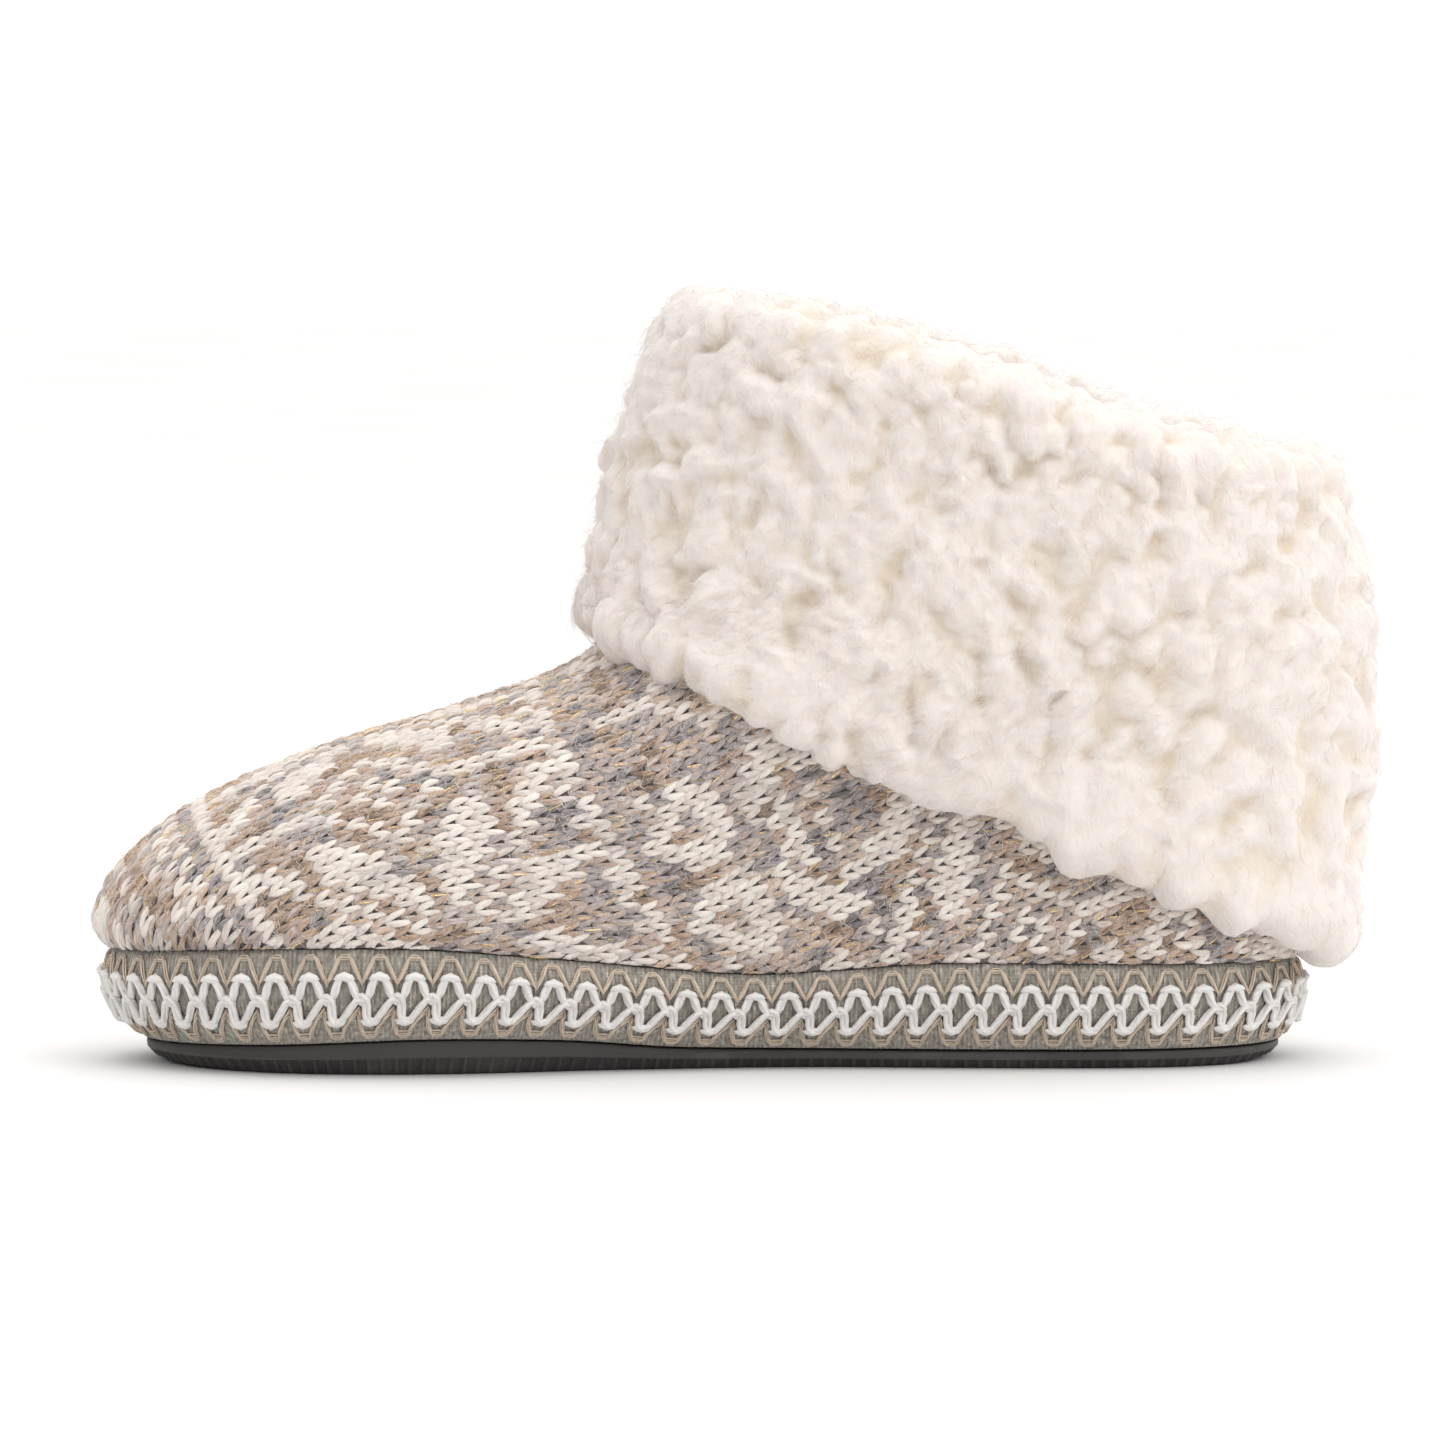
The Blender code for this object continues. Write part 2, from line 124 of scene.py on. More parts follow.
RINGS = (
    (0.0000, 0.000, 1.000, 0.000, 0.00, 0.00, 1.18, 0.000),
    (-0.008, 0.070, 1.010, 0.048, 0.00, 0.02, 1.18, 0.018),
    (-0.012, 0.180, 0.984, 0.141, 0.03, 0.12, 1.16, 0.012),
    (-0.016, 0.310, 0.921, 0.240, 0.10, 0.42, 1.13, -0.02),
    (-0.019, 0.430, 0.820, 0.331, 0.20, 0.78, 1.09, -0.06),
    (-0.020, 0.537, 0.711, 0.396, 0.34, 0.96, 1.06, -0.10),
    (-0.0195, 0.627, 0.613, 0.465, 0.50, 1.00, 1.03, -0.12),
    (-0.016, 0.716, 0.564, 0.558, 0.66, 1.00, 1.01, -0.12),
    (-0.009, 0.816, 0.543, 0.705, 0.80, 1.00, 1.00, -0.12),
    (-0.0004, 0.915, 0.523, 0.868, 0.92, 1.00, 1.00, -0.12),
    (0.0086, 1.000, 0.492, 1.000, 1.00, 1.00, 1.00, -0.12),
)


# ------------------------------------------------------------------ settings


class BootSizes(bpy.types.PropertyGroup):
    stitch_width: bpy.props.FloatProperty(
        name="Stitch width",
        description="Width of one knit stitch",
        default=0.00333,
        min=0.001,
        max=0.006,
        unit="LENGTH",
        precision=5,
    )
    course_height: bpy.props.FloatProperty(
        name="Course height",
        description="Height of one row of knit stitches",
        default=0.00335,
        min=0.0008,
        max=0.005,
        unit="LENGTH",
        precision=5,
    )
    lock_length: bpy.props.FloatProperty(
        name="Lock length",
        description="Length of a wool lock at the cuff's lower edge",
        default=0.0135,
        min=0.004,
        max=0.03,
        unit="LENGTH",
    )
    fibre_length: bpy.props.FloatProperty(
        name="Fibre length",
        description="Length of the loose wool fibres on the pile",
        default=0.0055,
        min=0.001,
        max=0.02,
        unit="LENGTH",
    )
    seed: bpy.props.IntProperty(
        name="Seed", description="Changes where locks and fibres lie", default=11
    )


def colour_property(name, description, value):
    return bpy.props.FloatVectorProperty(
        name=name,
        description=description,
        subtype="COLOR",
        size=3,
        min=0,
        max=1,
        default=value,
    )


class BootColours(bpy.types.PropertyGroup):
    rubber: colour_property("Rubber", "Colour of the outsole", (0.054, 0.049, 0.048))
    wrap: colour_property("Wrap", "Jersey round the platform", (0.42, 0.385, 0.33))
    cord_white: colour_property("White cord", "Middle of the braid", (0.90, 0.87, 0.84))
    cord_beige: colour_property("Beige cord", "Edges of the braid", (0.68, 0.56, 0.44))
    yarn_cream: colour_property("Cream yarn", "Pattern of the knit", (0.90, 0.80, 0.725))
    yarn_taupe: colour_property("Taupe yarn", "Ground of the knit", (0.52, 0.365, 0.265))
    yarn_grey: colour_property("Grey yarn", "Ground of the knit", (0.465, 0.42, 0.42))
    pile: colour_property("Pile", "Wool of the cuff and lining", (0.83, 0.76, 0.71))
    # painted shade: the darker, warmer colour the pile takes in its creases and between its strands
    pile_crease_shade: colour_property(
        "Pile in its creases", "Wool between the locks", (0.78, 0.66, 0.52)
    )
    floor: colour_property("Floor", "Studio floor", (0.83, 0.825, 0.82))


# ------------------------------------------------------- shape of the frame


def column(table, names, name):
    return np.array([row[names.index(name)] for row in table])


def eased(value):
    share = np.clip(value, 0.0, 1.0)
    return share * share * (3 - 2 * share)


def smooth_table(knots, values):
    """A smooth curve through the values at the knots, as a fine table for np.interp."""
    at = np.linspace(knots[0], knots[-1], 2001)
    slopes = np.gradient(values, knots)
    place = np.clip(np.searchsorted(knots, at, side="right") - 1, 0, len(knots) - 2)
    span = knots[place + 1] - knots[place]
    share = (at - knots[place]) / span
    square, cube = share**2, share**3
    curve = (
        (2 * cube - 3 * square + 1) * values[place]
        + (cube - 2 * square + share) * span * slopes[place]
        + (3 * square - 2 * cube) * values[place + 1]
        + (cube - square) * span * slopes[place + 1]
    )
    return at, curve


def smooth_tables(table, names, knots=None):
    """A fine table for each column of a table of sizes."""
    knots = column(table, names, names[0]) if knots is None else knots
    return {name: smooth_table(knots, column(table, names, name)) for name in names}


OUTLINE_CURVES = smooth_tables(OUTLINE, OUTLINE_COLUMNS)
EDGE_CURVES = smooth_tables(EDGE_LINE, EDGE_COLUMNS)
RING_CURVES = smooth_tables(RINGS, RING_COLUMNS, np.linspace(0, 1, len(RINGS)))


def outline_value(name, station):
    return np.interp(station, *OUTLINE_CURVES[name])


def edge_value(name, station):
    return np.interp(station, *EDGE_CURVES[name])


def ring_value(name, level):
    return np.interp(level, *RING_CURVES[name])


def x_at(station):
    return PLATFORM_LENGTH * (0.5 - station)


def station_at(x):
    return 0.5 - x / PLATFORM_LENGTH


def swing(station):
    return -TOE_SWING * np.clip(station, 0, 1) ** 2


def end_rounding(station):
    return 2 * np.sqrt(np.clip(station * (1 - station), 0, None))


def platform_half_width(station, inner):
    width = HEEL_WIDTH + (BALL_WIDTH - HEEL_WIDTH) * outline_value("ball_part", station)
    share = np.where(
        inner, outline_value("inner_side", station), outline_value("outer_side", station)
    )
    return width * share * end_rounding(station)


def edge_height(station):
    return OUTSOLE_EDGE * edge_value("edge", station)


def platform_top(station):
    return edge_height(station) + PLATFORM_HEIGHT * edge_value("platform", station)


def floor_rise(station):
    heel = np.clip((0.07 - station) / 0.07, 0, 1)
    toe = np.clip((station - 0.86) / 0.14, 0, 1)
    return HEEL_RISE * heel**2 + TOE_RISE * toe**2


def outline_point(angle):
    station = (1 - np.cos(angle)) / 2
    inner = np.sin(angle) >= 0
    y = swing(station) + np.where(inner, -1, 1) * platform_half_width(station, inner)
    return np.stack([x_at(station), y], axis=-1)


def inset_outline(angle, inset):
    """The platform's outline moved inwards by inset, square to itself."""
    step = 0.01
    along = outline_point(angle + step) - outline_point(angle - step)
    along /= np.linalg.norm(along, axis=-1, keepdims=True)
    inwards = np.stack([along[..., 1], -along[..., 0]], axis=-1)
    towards = -outline_point(angle)
    flip = np.where(np.sum(inwards * towards, axis=-1, keepdims=True) < 0, -1, 1)
    return outline_point(angle) + flip * inwards * np.asarray(inset)[..., None]


class EvenRound:
    """Turns a place round the inset outline, counted in repeats from the heel, into an angle."""

    def __init__(self, pitch, inset):
        closed = inset_outline(np.linspace(0, tau, 1441), np.full(1441, inset))
        side = np.sum(np.linalg.norm(np.diff(closed, axis=0), axis=1)) / 2
        self.repeats = round(side / pitch)
        self.tables = []
        for start in (0.0, pi):
            fine = start + np.linspace(0, pi, 721)
            points = inset_outline(fine, np.full(721, inset))
            length = np.concatenate(
                [[0], np.cumsum(np.linalg.norm(np.diff(points, axis=0), axis=1))]
            )
            self.tables.append((length / length[-1] * self.repeats, fine))

    def angle(self, place):
        place = np.mod(place, 2 * self.repeats)
        first = np.interp(place, *self.tables[0])
        second = np.interp(place - self.repeats, *self.tables[1])
        return np.where(place < self.repeats, first, second)


def foot_inset(angle):
    return HEEL_TUCK + (TOE_TUCK - HEEL_TUCK) * (1 - np.cos(angle)) / 2


def side_inset(angle, share):
    under = np.clip(1 - share / 0.8, 0, None) ** 2.2
    over = np.clip((share - 0.7) / 0.3, 0, None) ** 2
    return foot_inset(angle) * under + PLATFORM_TOP_TUCK * over


def platform_point(angle, share, out=0.0):
    """A point on the platform's side at a share of its height, moved outwards."""
    plan = inset_outline(angle, side_inset(angle, share) - out)
    station = station_at(plan[..., 0])
    foot = edge_height(station) + CLEARANCE
    height = foot + (platform_top(station) - foot) * share
    return np.concatenate([plan, height[..., None]], axis=-1)


def last_point(angle, level):
    """The upper's outside at an angle round the foot and a level from the platform (0) to the
    collar (1)."""
    angle, level = np.broadcast_arrays(np.asarray(angle, float), np.asarray(level, float))
    share = (1 - np.cos(angle)) / 2
    inner = np.sin(angle) >= 0
    x = x_at(ring_value("back", level) * (1 - share) + ring_value("front", level) * share)
    rise = (
        ring_value("back_rise", level) * COLLAR_BACK_HEIGHT * (1 - share)
        + ring_value("front_rise", level) * COLLAR_FRONT_HEIGHT * share
    )
    ground = platform_top(0.5) * np.ones_like(x)
    ground += (platform_top(station_at(x)) - ground) * (1 - eased(level / 0.45))
    crown = COLLAR_CROWN * share**3 * (1 - share) / (0.75**3 * 0.25) * eased(level)
    z = ground + CLEARANCE + rise + crown

    round_part = ring_value("back_round", level) * (1 - share)
    round_part = round_part + ring_value("front_round", level) * share
    foot = platform_half_width(share, inner) * (1 + ring_value("swell", level))
    collar = ring_value("width", level) * COLLAR_WIDTH / 2 * end_rounding(share)
    half = foot * (1 - round_part) + collar * round_part
    half = half - FEATHER_INSET * (1 - eased(level / 0.08)) * end_rounding(share)
    y = swing(station_at(x)) * (1 - eased(level)) + np.where(inner, -1, 1) * half
    return np.stack([x, y, z], axis=-1)


def last_frame(angle, level):
    """The point, the outward normal and the upward direction of the upper's outside."""
    upper_level = np.minimum(level + 0.002, 1)
    lower_level = np.maximum(level - 0.002, 0)
    up = last_point(angle, upper_level) - last_point(angle, lower_level)
    up /= np.linalg.norm(up, axis=-1, keepdims=True)
    along = last_point(angle + 0.02, level) - last_point(angle - 0.02, level)
    normal = np.cross(up, along)
    normal /= np.linalg.norm(normal, axis=-1, keepdims=True)
    return last_point(angle, level), normal, up


def find_cuff_edge(angle):
    """The level of the cuff's lower edge, which falls straight from the instep to the heel."""
    rim = last_point(np.array([0.0, pi]), np.ones(2))[:, 2]
    heel, instep = rim[0] - CUFF_HEEL_DROP, rim[1] - CUFF_INSTEP_DROP
    low, high = np.zeros_like(angle), np.ones_like(angle)
    for _ in range(30):
        middle = (low + high) / 2
        point = last_point(angle, middle)
        share = station_at(point[..., 0]) / INSTEP_STATION
        under = point[..., 2] < heel + (instep - heel) * share
        low, high = np.where(under, middle, low), np.where(under, high, middle)
    return (low + high) / 2


EDGE_ANGLES = np.linspace(0, tau, 1441)
EDGE_LEVELS = find_cuff_edge(EDGE_ANGLES)


def cuff_edge_level(angle):
    return np.interp(np.mod(angle, tau), EDGE_ANGLES, EDGE_LEVELS)


# ------------------------------------------------------------ making meshes


def unit(vectors):
    return vectors / (np.linalg.norm(vectors, axis=-1, keepdims=True) + 1e-12)


def grid_faces(rows, columns, closed_rows=False, closed_columns=True, first=0):
    """Quads between the rows of a grid of points."""
    row_count = rows if closed_rows else rows - 1
    column_count = columns if closed_columns else columns - 1
    row, col = np.meshgrid(np.arange(row_count), np.arange(column_count), indexing="ij")
    next_row, next_col = (row + 1) % rows, (col + 1) % columns
    corners = [
        row * columns + col,
        row * columns + next_col,
        next_row * columns + next_col,
        next_row * columns + col,
    ]
    return np.stack([corner.ravel() for corner in corners], axis=1) + first


def disc_faces(first, columns, upwards):
    """Quads across a loop, from its inner side to its outer side."""
    half = columns // 2
    step = np.arange(1, half - 1)
    quads = [
        first + step,
        first + step + 1,
        first + columns - step - 1,
        first + columns - step,
    ]
    faces = [list(map(int, face)) for face in np.stack(quads, axis=1)]
    faces.append([first, first + 1, first + columns - 1])
    faces.append([first + half - 1, first + half, first + half + 1])
    return faces if upwards else [face[::-1] for face in faces]


def slab_faces(loops, columns):
    """Faces round a stack of loops, with a lid across each end."""
    faces = [list(map(int, face)) for face in grid_faces(len(loops), columns)[:, ::-1]]
    faces += disc_faces(0, columns, upwards=True)
    faces += disc_faces((len(loops) - 1) * columns, columns, upwards=False)
    return faces


def link(name, data):
    obj = bpy.data.objects.new(name, data)
    bpy.context.scene.collection.objects.link(obj)
    return obj


def mesh_piece(name, points, faces, material, uv=None, tone=None, strands=None):
    """A mesh object from points and faces, with UV maps and a tone per point where given."""
    mesh = bpy.data.meshes.new(name)
    if isinstance(faces, np.ndarray):
        mesh.vertices.add(len(points))
        mesh.vertices.foreach_set("co", np.asarray(points, np.float32).ravel())
        mesh.loops.add(faces.size)
        mesh.loops.foreach_set("vertex_index", faces.astype(np.int32).ravel())
        mesh.polygons.add(len(faces))
        mesh.polygons.foreach_set(
            "loop_start", np.arange(0, faces.size, faces.shape[1], dtype=np.int32)
        )
        mesh.update(calc_edges=True)
    else:
        mesh.from_pydata([tuple(map(float, p)) for p in points], [], faces)
        mesh.update()
    index = np.empty(len(mesh.loops), np.int32)
    mesh.loops.foreach_get("vertex_index", index)
    for layer_name, places in (("OFBake", uv), ("Strands", strands)):
        if places is not None:
            layer = mesh.uv_layers.new(name=layer_name)
            layer.data.foreach_set("uv", np.asarray(places, np.float32)[index].ravel())
    if tone is not None:
        layer = mesh.attributes.new("tone", "FLOAT", "POINT")
        layer.data.foreach_set("value", np.asarray(tone, np.float32))
    mesh.materials.append(material)
    mesh.polygons.foreach_set("use_smooth", np.ones(len(mesh.polygons), bool))
    mesh.validate()
    mesh.update()
    return link(name, mesh)


def fit_piece(obj, slot, *nodes):
    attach(obj, "root")
    if nodes:
        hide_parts(*nodes)
    return obj


def swept_tubes(paths, radius, sides):
    """Closed tubes round many paths at once. paths is (count, steps, 3)."""
    count, steps, _ = paths.shape
    ahead = np.roll(paths, -1, axis=1) - np.roll(paths, 1, axis=1)
    ahead = unit(ahead)
    # nearly upright, so no path of the boot runs along it
    side = unit(np.cross(ahead, np.array([0.013, 0.021, 1.0])))
    over = np.cross(side, ahead)
    turn = (np.arange(sides) / sides * tau)[:, None]
    ring = side[:, :, None, :] * np.cos(turn) + over[:, :, None, :] * np.sin(turn)
    points = paths[:, :, None, :] + ring * radius
    faces = [
        grid_faces(steps, sides, closed_rows=True, first=k * steps * sides)
        for k in range(count)
    ]
    return points.reshape(-1, 3), np.vstack(faces)


# --------------------------------------------------------------- materials


class Wiring:
    """Adds nodes to a tree and links them by short calls."""

    def __init__(self, tree):
        self.tree = tree

    def add(self, kind, inputs=None, **settings):
        node = self.tree.nodes.new(kind)
        for key, value in settings.items():
            setattr(node, key, value)
        for key, value in (inputs or {}).items():
            self.feed(node.inputs[key], value)
        return node

    def feed(self, socket, value):
        """Links a socket, or a node's first output, to a socket, or sets a plain value on it."""
        if isinstance(value, bpy.types.NodeSocket):
            self.tree.links.new(value, socket)
        elif isinstance(value, bpy.types.Node):
            self.tree.links.new(value.outputs[0], socket)
        else:
            socket.default_value = value

    def math(self, operation, first, second=0.5):
        return self.add("ShaderNodeMath", {0: first, 1: second}, operation=operation)

    def blend(self, *parts):
        """The sum of values, each times its weight."""
        total = None
        for value, weight in parts:
            weighed = self.math("MULTIPLY", value, weight)
            total = weighed if total is None else self.math("ADD", total, weighed)
        return total

    def noise(self, place, scale, detail=2.0, roughness=0.5, distortion=0.0):
        return self.add(
            "ShaderNodeTexNoise",
            {
                "Vector": place,
                "Scale": scale,
                "Detail": detail,
                "Roughness": roughness,
                "Distortion": distortion,
            },
        )

    def stretch(self, place, scale):
        return self.add("ShaderNodeMapping", {"Vector": place, "Scale": scale})

    def ramp(self, factor, stops):
        node = self.add("ShaderNodeValToRGB", {"Fac": factor})
        ramp = node.color_ramp
        while len(ramp.elements) < len(stops):
            ramp.elements.new(0.5)
        for element, (place, colour) in zip(ramp.elements, stops):
            element.position = place
            value = (colour,) * 3 if isinstance(colour, (int, float)) else colour
            element.color = (*value, 1)
        return node.outputs[0]

    def mix(self, factor, first, second):
        """A mix of two colours; the colour sockets of a Mix node are its seventh and eighth."""
        node = self.add("ShaderNodeMix", {0: factor, 6: first, 7: second}, data_type="RGBA")
        return node.outputs[2]

    def bump(self, height, distance, strength=1.0, **under):
        inputs = {"Height": height, "Distance": distance, "Strength": strength}
        return self.add("ShaderNodeBump", {**inputs, **under})


def shared_group(name, inputs, outputs, build):
    """A shader node group that several materials use, made when it is first asked for."""
    if name not in bpy.data.node_groups:
        group = bpy.data.node_groups.new(name, "ShaderNodeTree")
        for label, kind, value in inputs:
            socket = group.interface.new_socket(name=label, in_out="INPUT", socket_type=kind)
            if value is not None:
                socket.default_value = value
        for label in outputs:
            group.interface.new_socket(
                name=label, in_out="OUTPUT", socket_type="NodeSocketFloat"
            )
        wire = Wiring(group)
        start = wire.add("NodeGroupInput").outputs
        end = wire.add("NodeGroupOutput").inputs
        for label, value in build(wire, start).items():
            wire.feed(end[label], value)
    return bpy.data.node_groups[name]


PLACE_INPUT = ("Vector", "NodeSocketVector", None)


def fibre_group():
    """Fine wool fibres: a height and a shade that change over the surface."""

    def build(wire, start):
        fine = wire.noise(start["Vector"], start["Fineness"], 3.0, 0.65, 0.6)
        drift = wire.noise(start["Vector"], start["Drift"])
        return {"Height": fine, "Shade": wire.blend((fine, 0.55), (drift, 0.45))}

    inputs = [
        PLACE_INPUT,
        ("Fineness", "NodeSocketFloat", 2500.0),
        ("Drift", "NodeSocketFloat", 120.0),
    ]
    return shared_group("Wool fibres", inputs, ("Height", "Shade"), build)


def streak_group():
    """Fibres that run along each arm of a stitch, and patches of tint: a height and a shade."""

    def build(wire, start):
        fibre = wire.noise(wire.stretch(start["Vector"], (2.4, 0.75, 1.0)), 1.0, 5.0, 0.7, 0.6)
        patch = wire.noise(wire.stretch(start["Vector"], (1.2, 0.35, 1.0)), 1.0, 1.0)
        shade = wire.blend((fibre, 0.50), (start["Tone"], 0.22), (patch, 0.28))
        return {"Height": fibre, "Shade": shade}

    inputs = [PLACE_INPUT, ("Tone", "NodeSocketFloat", 0.5)]
    return shared_group("Yarn streaks", inputs, ("Height", "Shade"), build)


def curl_group():
    """Fine strands of pile that hang and bend, as a height."""

    def build(wire, start):
        sway = wire.noise(start["Vector"], 120.0, 1.0).outputs["Color"]
        sway = wire.add(
            "ShaderNodeVectorMath", {0: sway, 1: (0.010, 0.010, 0.010)}, operation="MULTIPLY"
        )
        bent = wire.add("ShaderNodeVectorMath", {0: start["Vector"], 1: sway}, operation="ADD")
        stretched = wire.stretch(bent, (850.0, 850.0, 240.0))
        return {"Height": wire.noise(stretched, 1.0, 4.0, 0.6)}

    return shared_group("Pile strands", [PLACE_INPUT], ("Height",), build)


def new_material(name):
    made = bpy.data.materials.new(name)
    made.use_nodes = True
    wire = Wiring(made.node_tree)
    shader = made.node_tree.nodes["Principled BSDF"]
    return made, wire, shader


def object_place(wire):
    return wire.add("ShaderNodeTexCoord").outputs["Object"]


def piece_tone(wire):
    """The tone that the mesh gives each of its points."""
    return wire.add("ShaderNodeAttribute", attribute_name="tone").outputs["Fac"]


def set_surface(wire, shader, colour, roughness, relief, **plain):
    """Feeds what changes over the surface, and sets the rest on the shader's own sockets."""
    wire.feed(shader.inputs["Base Color"], colour)
    wire.feed(shader.inputs["Roughness"], roughness)
    if relief is not None:
        wire.feed(shader.inputs["Normal"], relief)
    for name, value in plain.items():
        shader.inputs[name.replace("_", " ").title()].default_value = value


def tinted(colour, factor):
    return tuple(min(1.0, channel * factor) for channel in colour)


def woollen(name, colour, dark=0.55, light=1.2, bump=0.0002, sheen=0.25):
    """A wool or cotton yarn: a drifting colour, fibre bump and a little sheen."""
    made, wire, shader = new_material(name)
    fibres = wire.add("ShaderNodeGroup", node_tree=fibre_group())
    wire.feed(fibres.inputs["Vector"], object_place(wire))
    mixed = wire.blend((fibres.outputs["Shade"], 0.5), (piece_tone(wire), 0.5))
    shade = wire.ramp(
        mixed,
        [
            (0.18, tinted(colour, dark)),
            (0.48, tinted(colour, 1.0)),
            (0.80, tinted(colour, light)),
        ],
    )
    set_surface(
        wire,
        shader,
        shade,
        wire.ramp(fibres.outputs["Shade"], [(0, 0.82), (1, 0.98)]),
        wire.bump(fibres.outputs["Height"], bump, 0.9),
        sheen_weight=sheen,
        sheen_roughness=0.6,
    )
    return made


def yarn_material(name, shades):
    """Soft knitting yarn: fine streaks along each arm, in shades from dark to pale."""
    made, wire, shader = new_material(name)
    streaks = wire.add("ShaderNodeGroup", node_tree=streak_group())
    wire.feed(streaks.inputs["Vector"], wire.add("ShaderNodeUVMap", uv_map="Strands"))
    wire.feed(streaks.inputs["Tone"], piece_tone(wire))
    places = np.linspace(0.38, 0.62, len(shades))
    set_surface(
        wire,
        shader,
        wire.ramp(streaks.outputs["Shade"], list(zip(places, shades))),
        wire.ramp(streaks.outputs["Height"], [(0, 0.85), (1, 1.0)]),
        wire.bump(streaks.outputs["Height"], 0.0004),
        sheen_weight=0.35,
        sheen_roughness=0.6,
        subsurface_weight=0.25,
        subsurface_radius=(1.0, 0.8, 0.65),
        subsurface_scale=0.0008,
    )
    return made


def gold_thread_material():
    """Flat metallic thread that glints among the yarn."""
    made, wire, shader = new_material("gold_thread")
    flecks = wire.noise(object_place(wire), 2200.0)
    shade = wire.ramp(flecks, [(0.35, (0.60, 0.36, 0.13)), (0.65, (1.0, 0.80, 0.42))])
    roughness = wire.ramp(flecks, [(0.3, 0.22), (0.7, 0.45)])
    set_surface(wire, shader, shade, roughness, None, metallic=1.0)
    return made


def rubber_material(colour):
    """Matt moulded rubber: a fine grain, and paler scuffs low on the ribs."""
    made, wire, shader = new_material("black_rubber")
    place = object_place(wire)
    grain = wire.noise(place, 900.0, 4.0)
    scuff = wire.noise(place, 60.0, 5.0)
    height = wire.add("ShaderNodeSeparateXYZ", {0: place}).outputs["Z"]
    low = wire.math("LESS_THAN", height, 0.0036)
    dust = wire.math("MULTIPLY", wire.ramp(scuff, [(0.45, 0.0), (0.8, 0.6)]), low)
    set_surface(
        wire,
        shader,
        wire.mix(dust, (*colour, 1), (*tinted(colour, 2.6), 1)),
        wire.ramp(scuff, [(0.2, 0.48), (0.9, 0.66)]),
        wire.bump(grain, 0.00006),
    )
    return made


def jersey_material(colour):
    """Fine jersey in mixed greys: upright wales a millimetre apart, with pale and dark hairs, and
    painted shade between the wales.
    """
    made, wire, shader = new_material("grey_jersey")
    uv = wire.add("ShaderNodeUVMap", uv_map="OFBake").outputs[0]
    parts = wire.add("ShaderNodeSeparateXYZ", {0: uv})
    wobble = wire.noise(uv, 220.0)
    across = wire.blend((parts.outputs["X"], 620.0 * tau), (wobble, 2.4))
    wale = wire.math("SINE", across)
    loop = wire.math("SINE", wire.blend((parts.outputs["Y"], 30.0 * tau), (wale, 1.1)))
    relief = wire.math("ADD", wale, wire.math("MULTIPLY", loop, 0.45))
    hairs = wire.noise(wire.stretch(object_place(wire), (1400.0, 1400.0, 260.0)), 1.0, 4.0)
    shade = wire.ramp(
        hairs,
        [
            (0.28, tinted(colour, 0.42)),
            (0.46, tinted(colour, 0.95)),
            (0.60, tinted(colour, 1.25)),
            (0.74, tinted(colour, 2.1)),
        ],
    )
    # painted shade: the colour darkens between the wales, standing for the shade in the grooves
    between = wire.ramp(wale, [(0.0, 0.30), (0.9, 0.0)])
    set_surface(
        wire,
        shader,
        wire.mix(between, shade, (*tinted(colour, 0.30), 1)),
        wire.ramp(hairs, [(0, 0.85), (1, 1.0)]),
        wire.bump(hairs, 0.00012, Normal=wire.bump(relief, 0.00012)),
        sheen_weight=0.3,
    )
    return made


def pile_material(name, colour, deep):
    """Curly wool: fine strands that hang and bend, with painted shade, darker and warmer, in the
    creases and between the strands.
    """
    made, wire, shader = new_material(name)
    curls = wire.add("ShaderNodeGroup", node_tree=curl_group())
    wire.feed(curls.inputs["Vector"], object_place(wire))
    strands = curls.outputs["Height"]
    # painted shade: where the tone is low the pile turns to its darker, warmer crease colour
    crease = wire.ramp(piece_tone(wire), [(0.0, 0.8), (0.5, 0.0)])
    base = wire.mix(crease, (*colour, 1), (*deep, 1))
    set_surface(
        wire,
        shader,
        # painted shade: the crease colour is also mixed in between the strands
        wire.mix(wire.ramp(strands, [(0.30, 0.30), (0.55, 0.0)]), base, (*deep, 1)),
        wire.ramp(strands, [(0, 0.9), (1, 1.0)]),
        wire.bump(strands, 0.0006, 0.8),
        sheen_weight=0.35,
        sheen_roughness=0.7,
        subsurface_weight=0.25,
        subsurface_radius=(1.0, 0.8, 0.6),
        subsurface_scale=0.0018,
    )
    return made


# ------------------------------------------------------------------ outsole


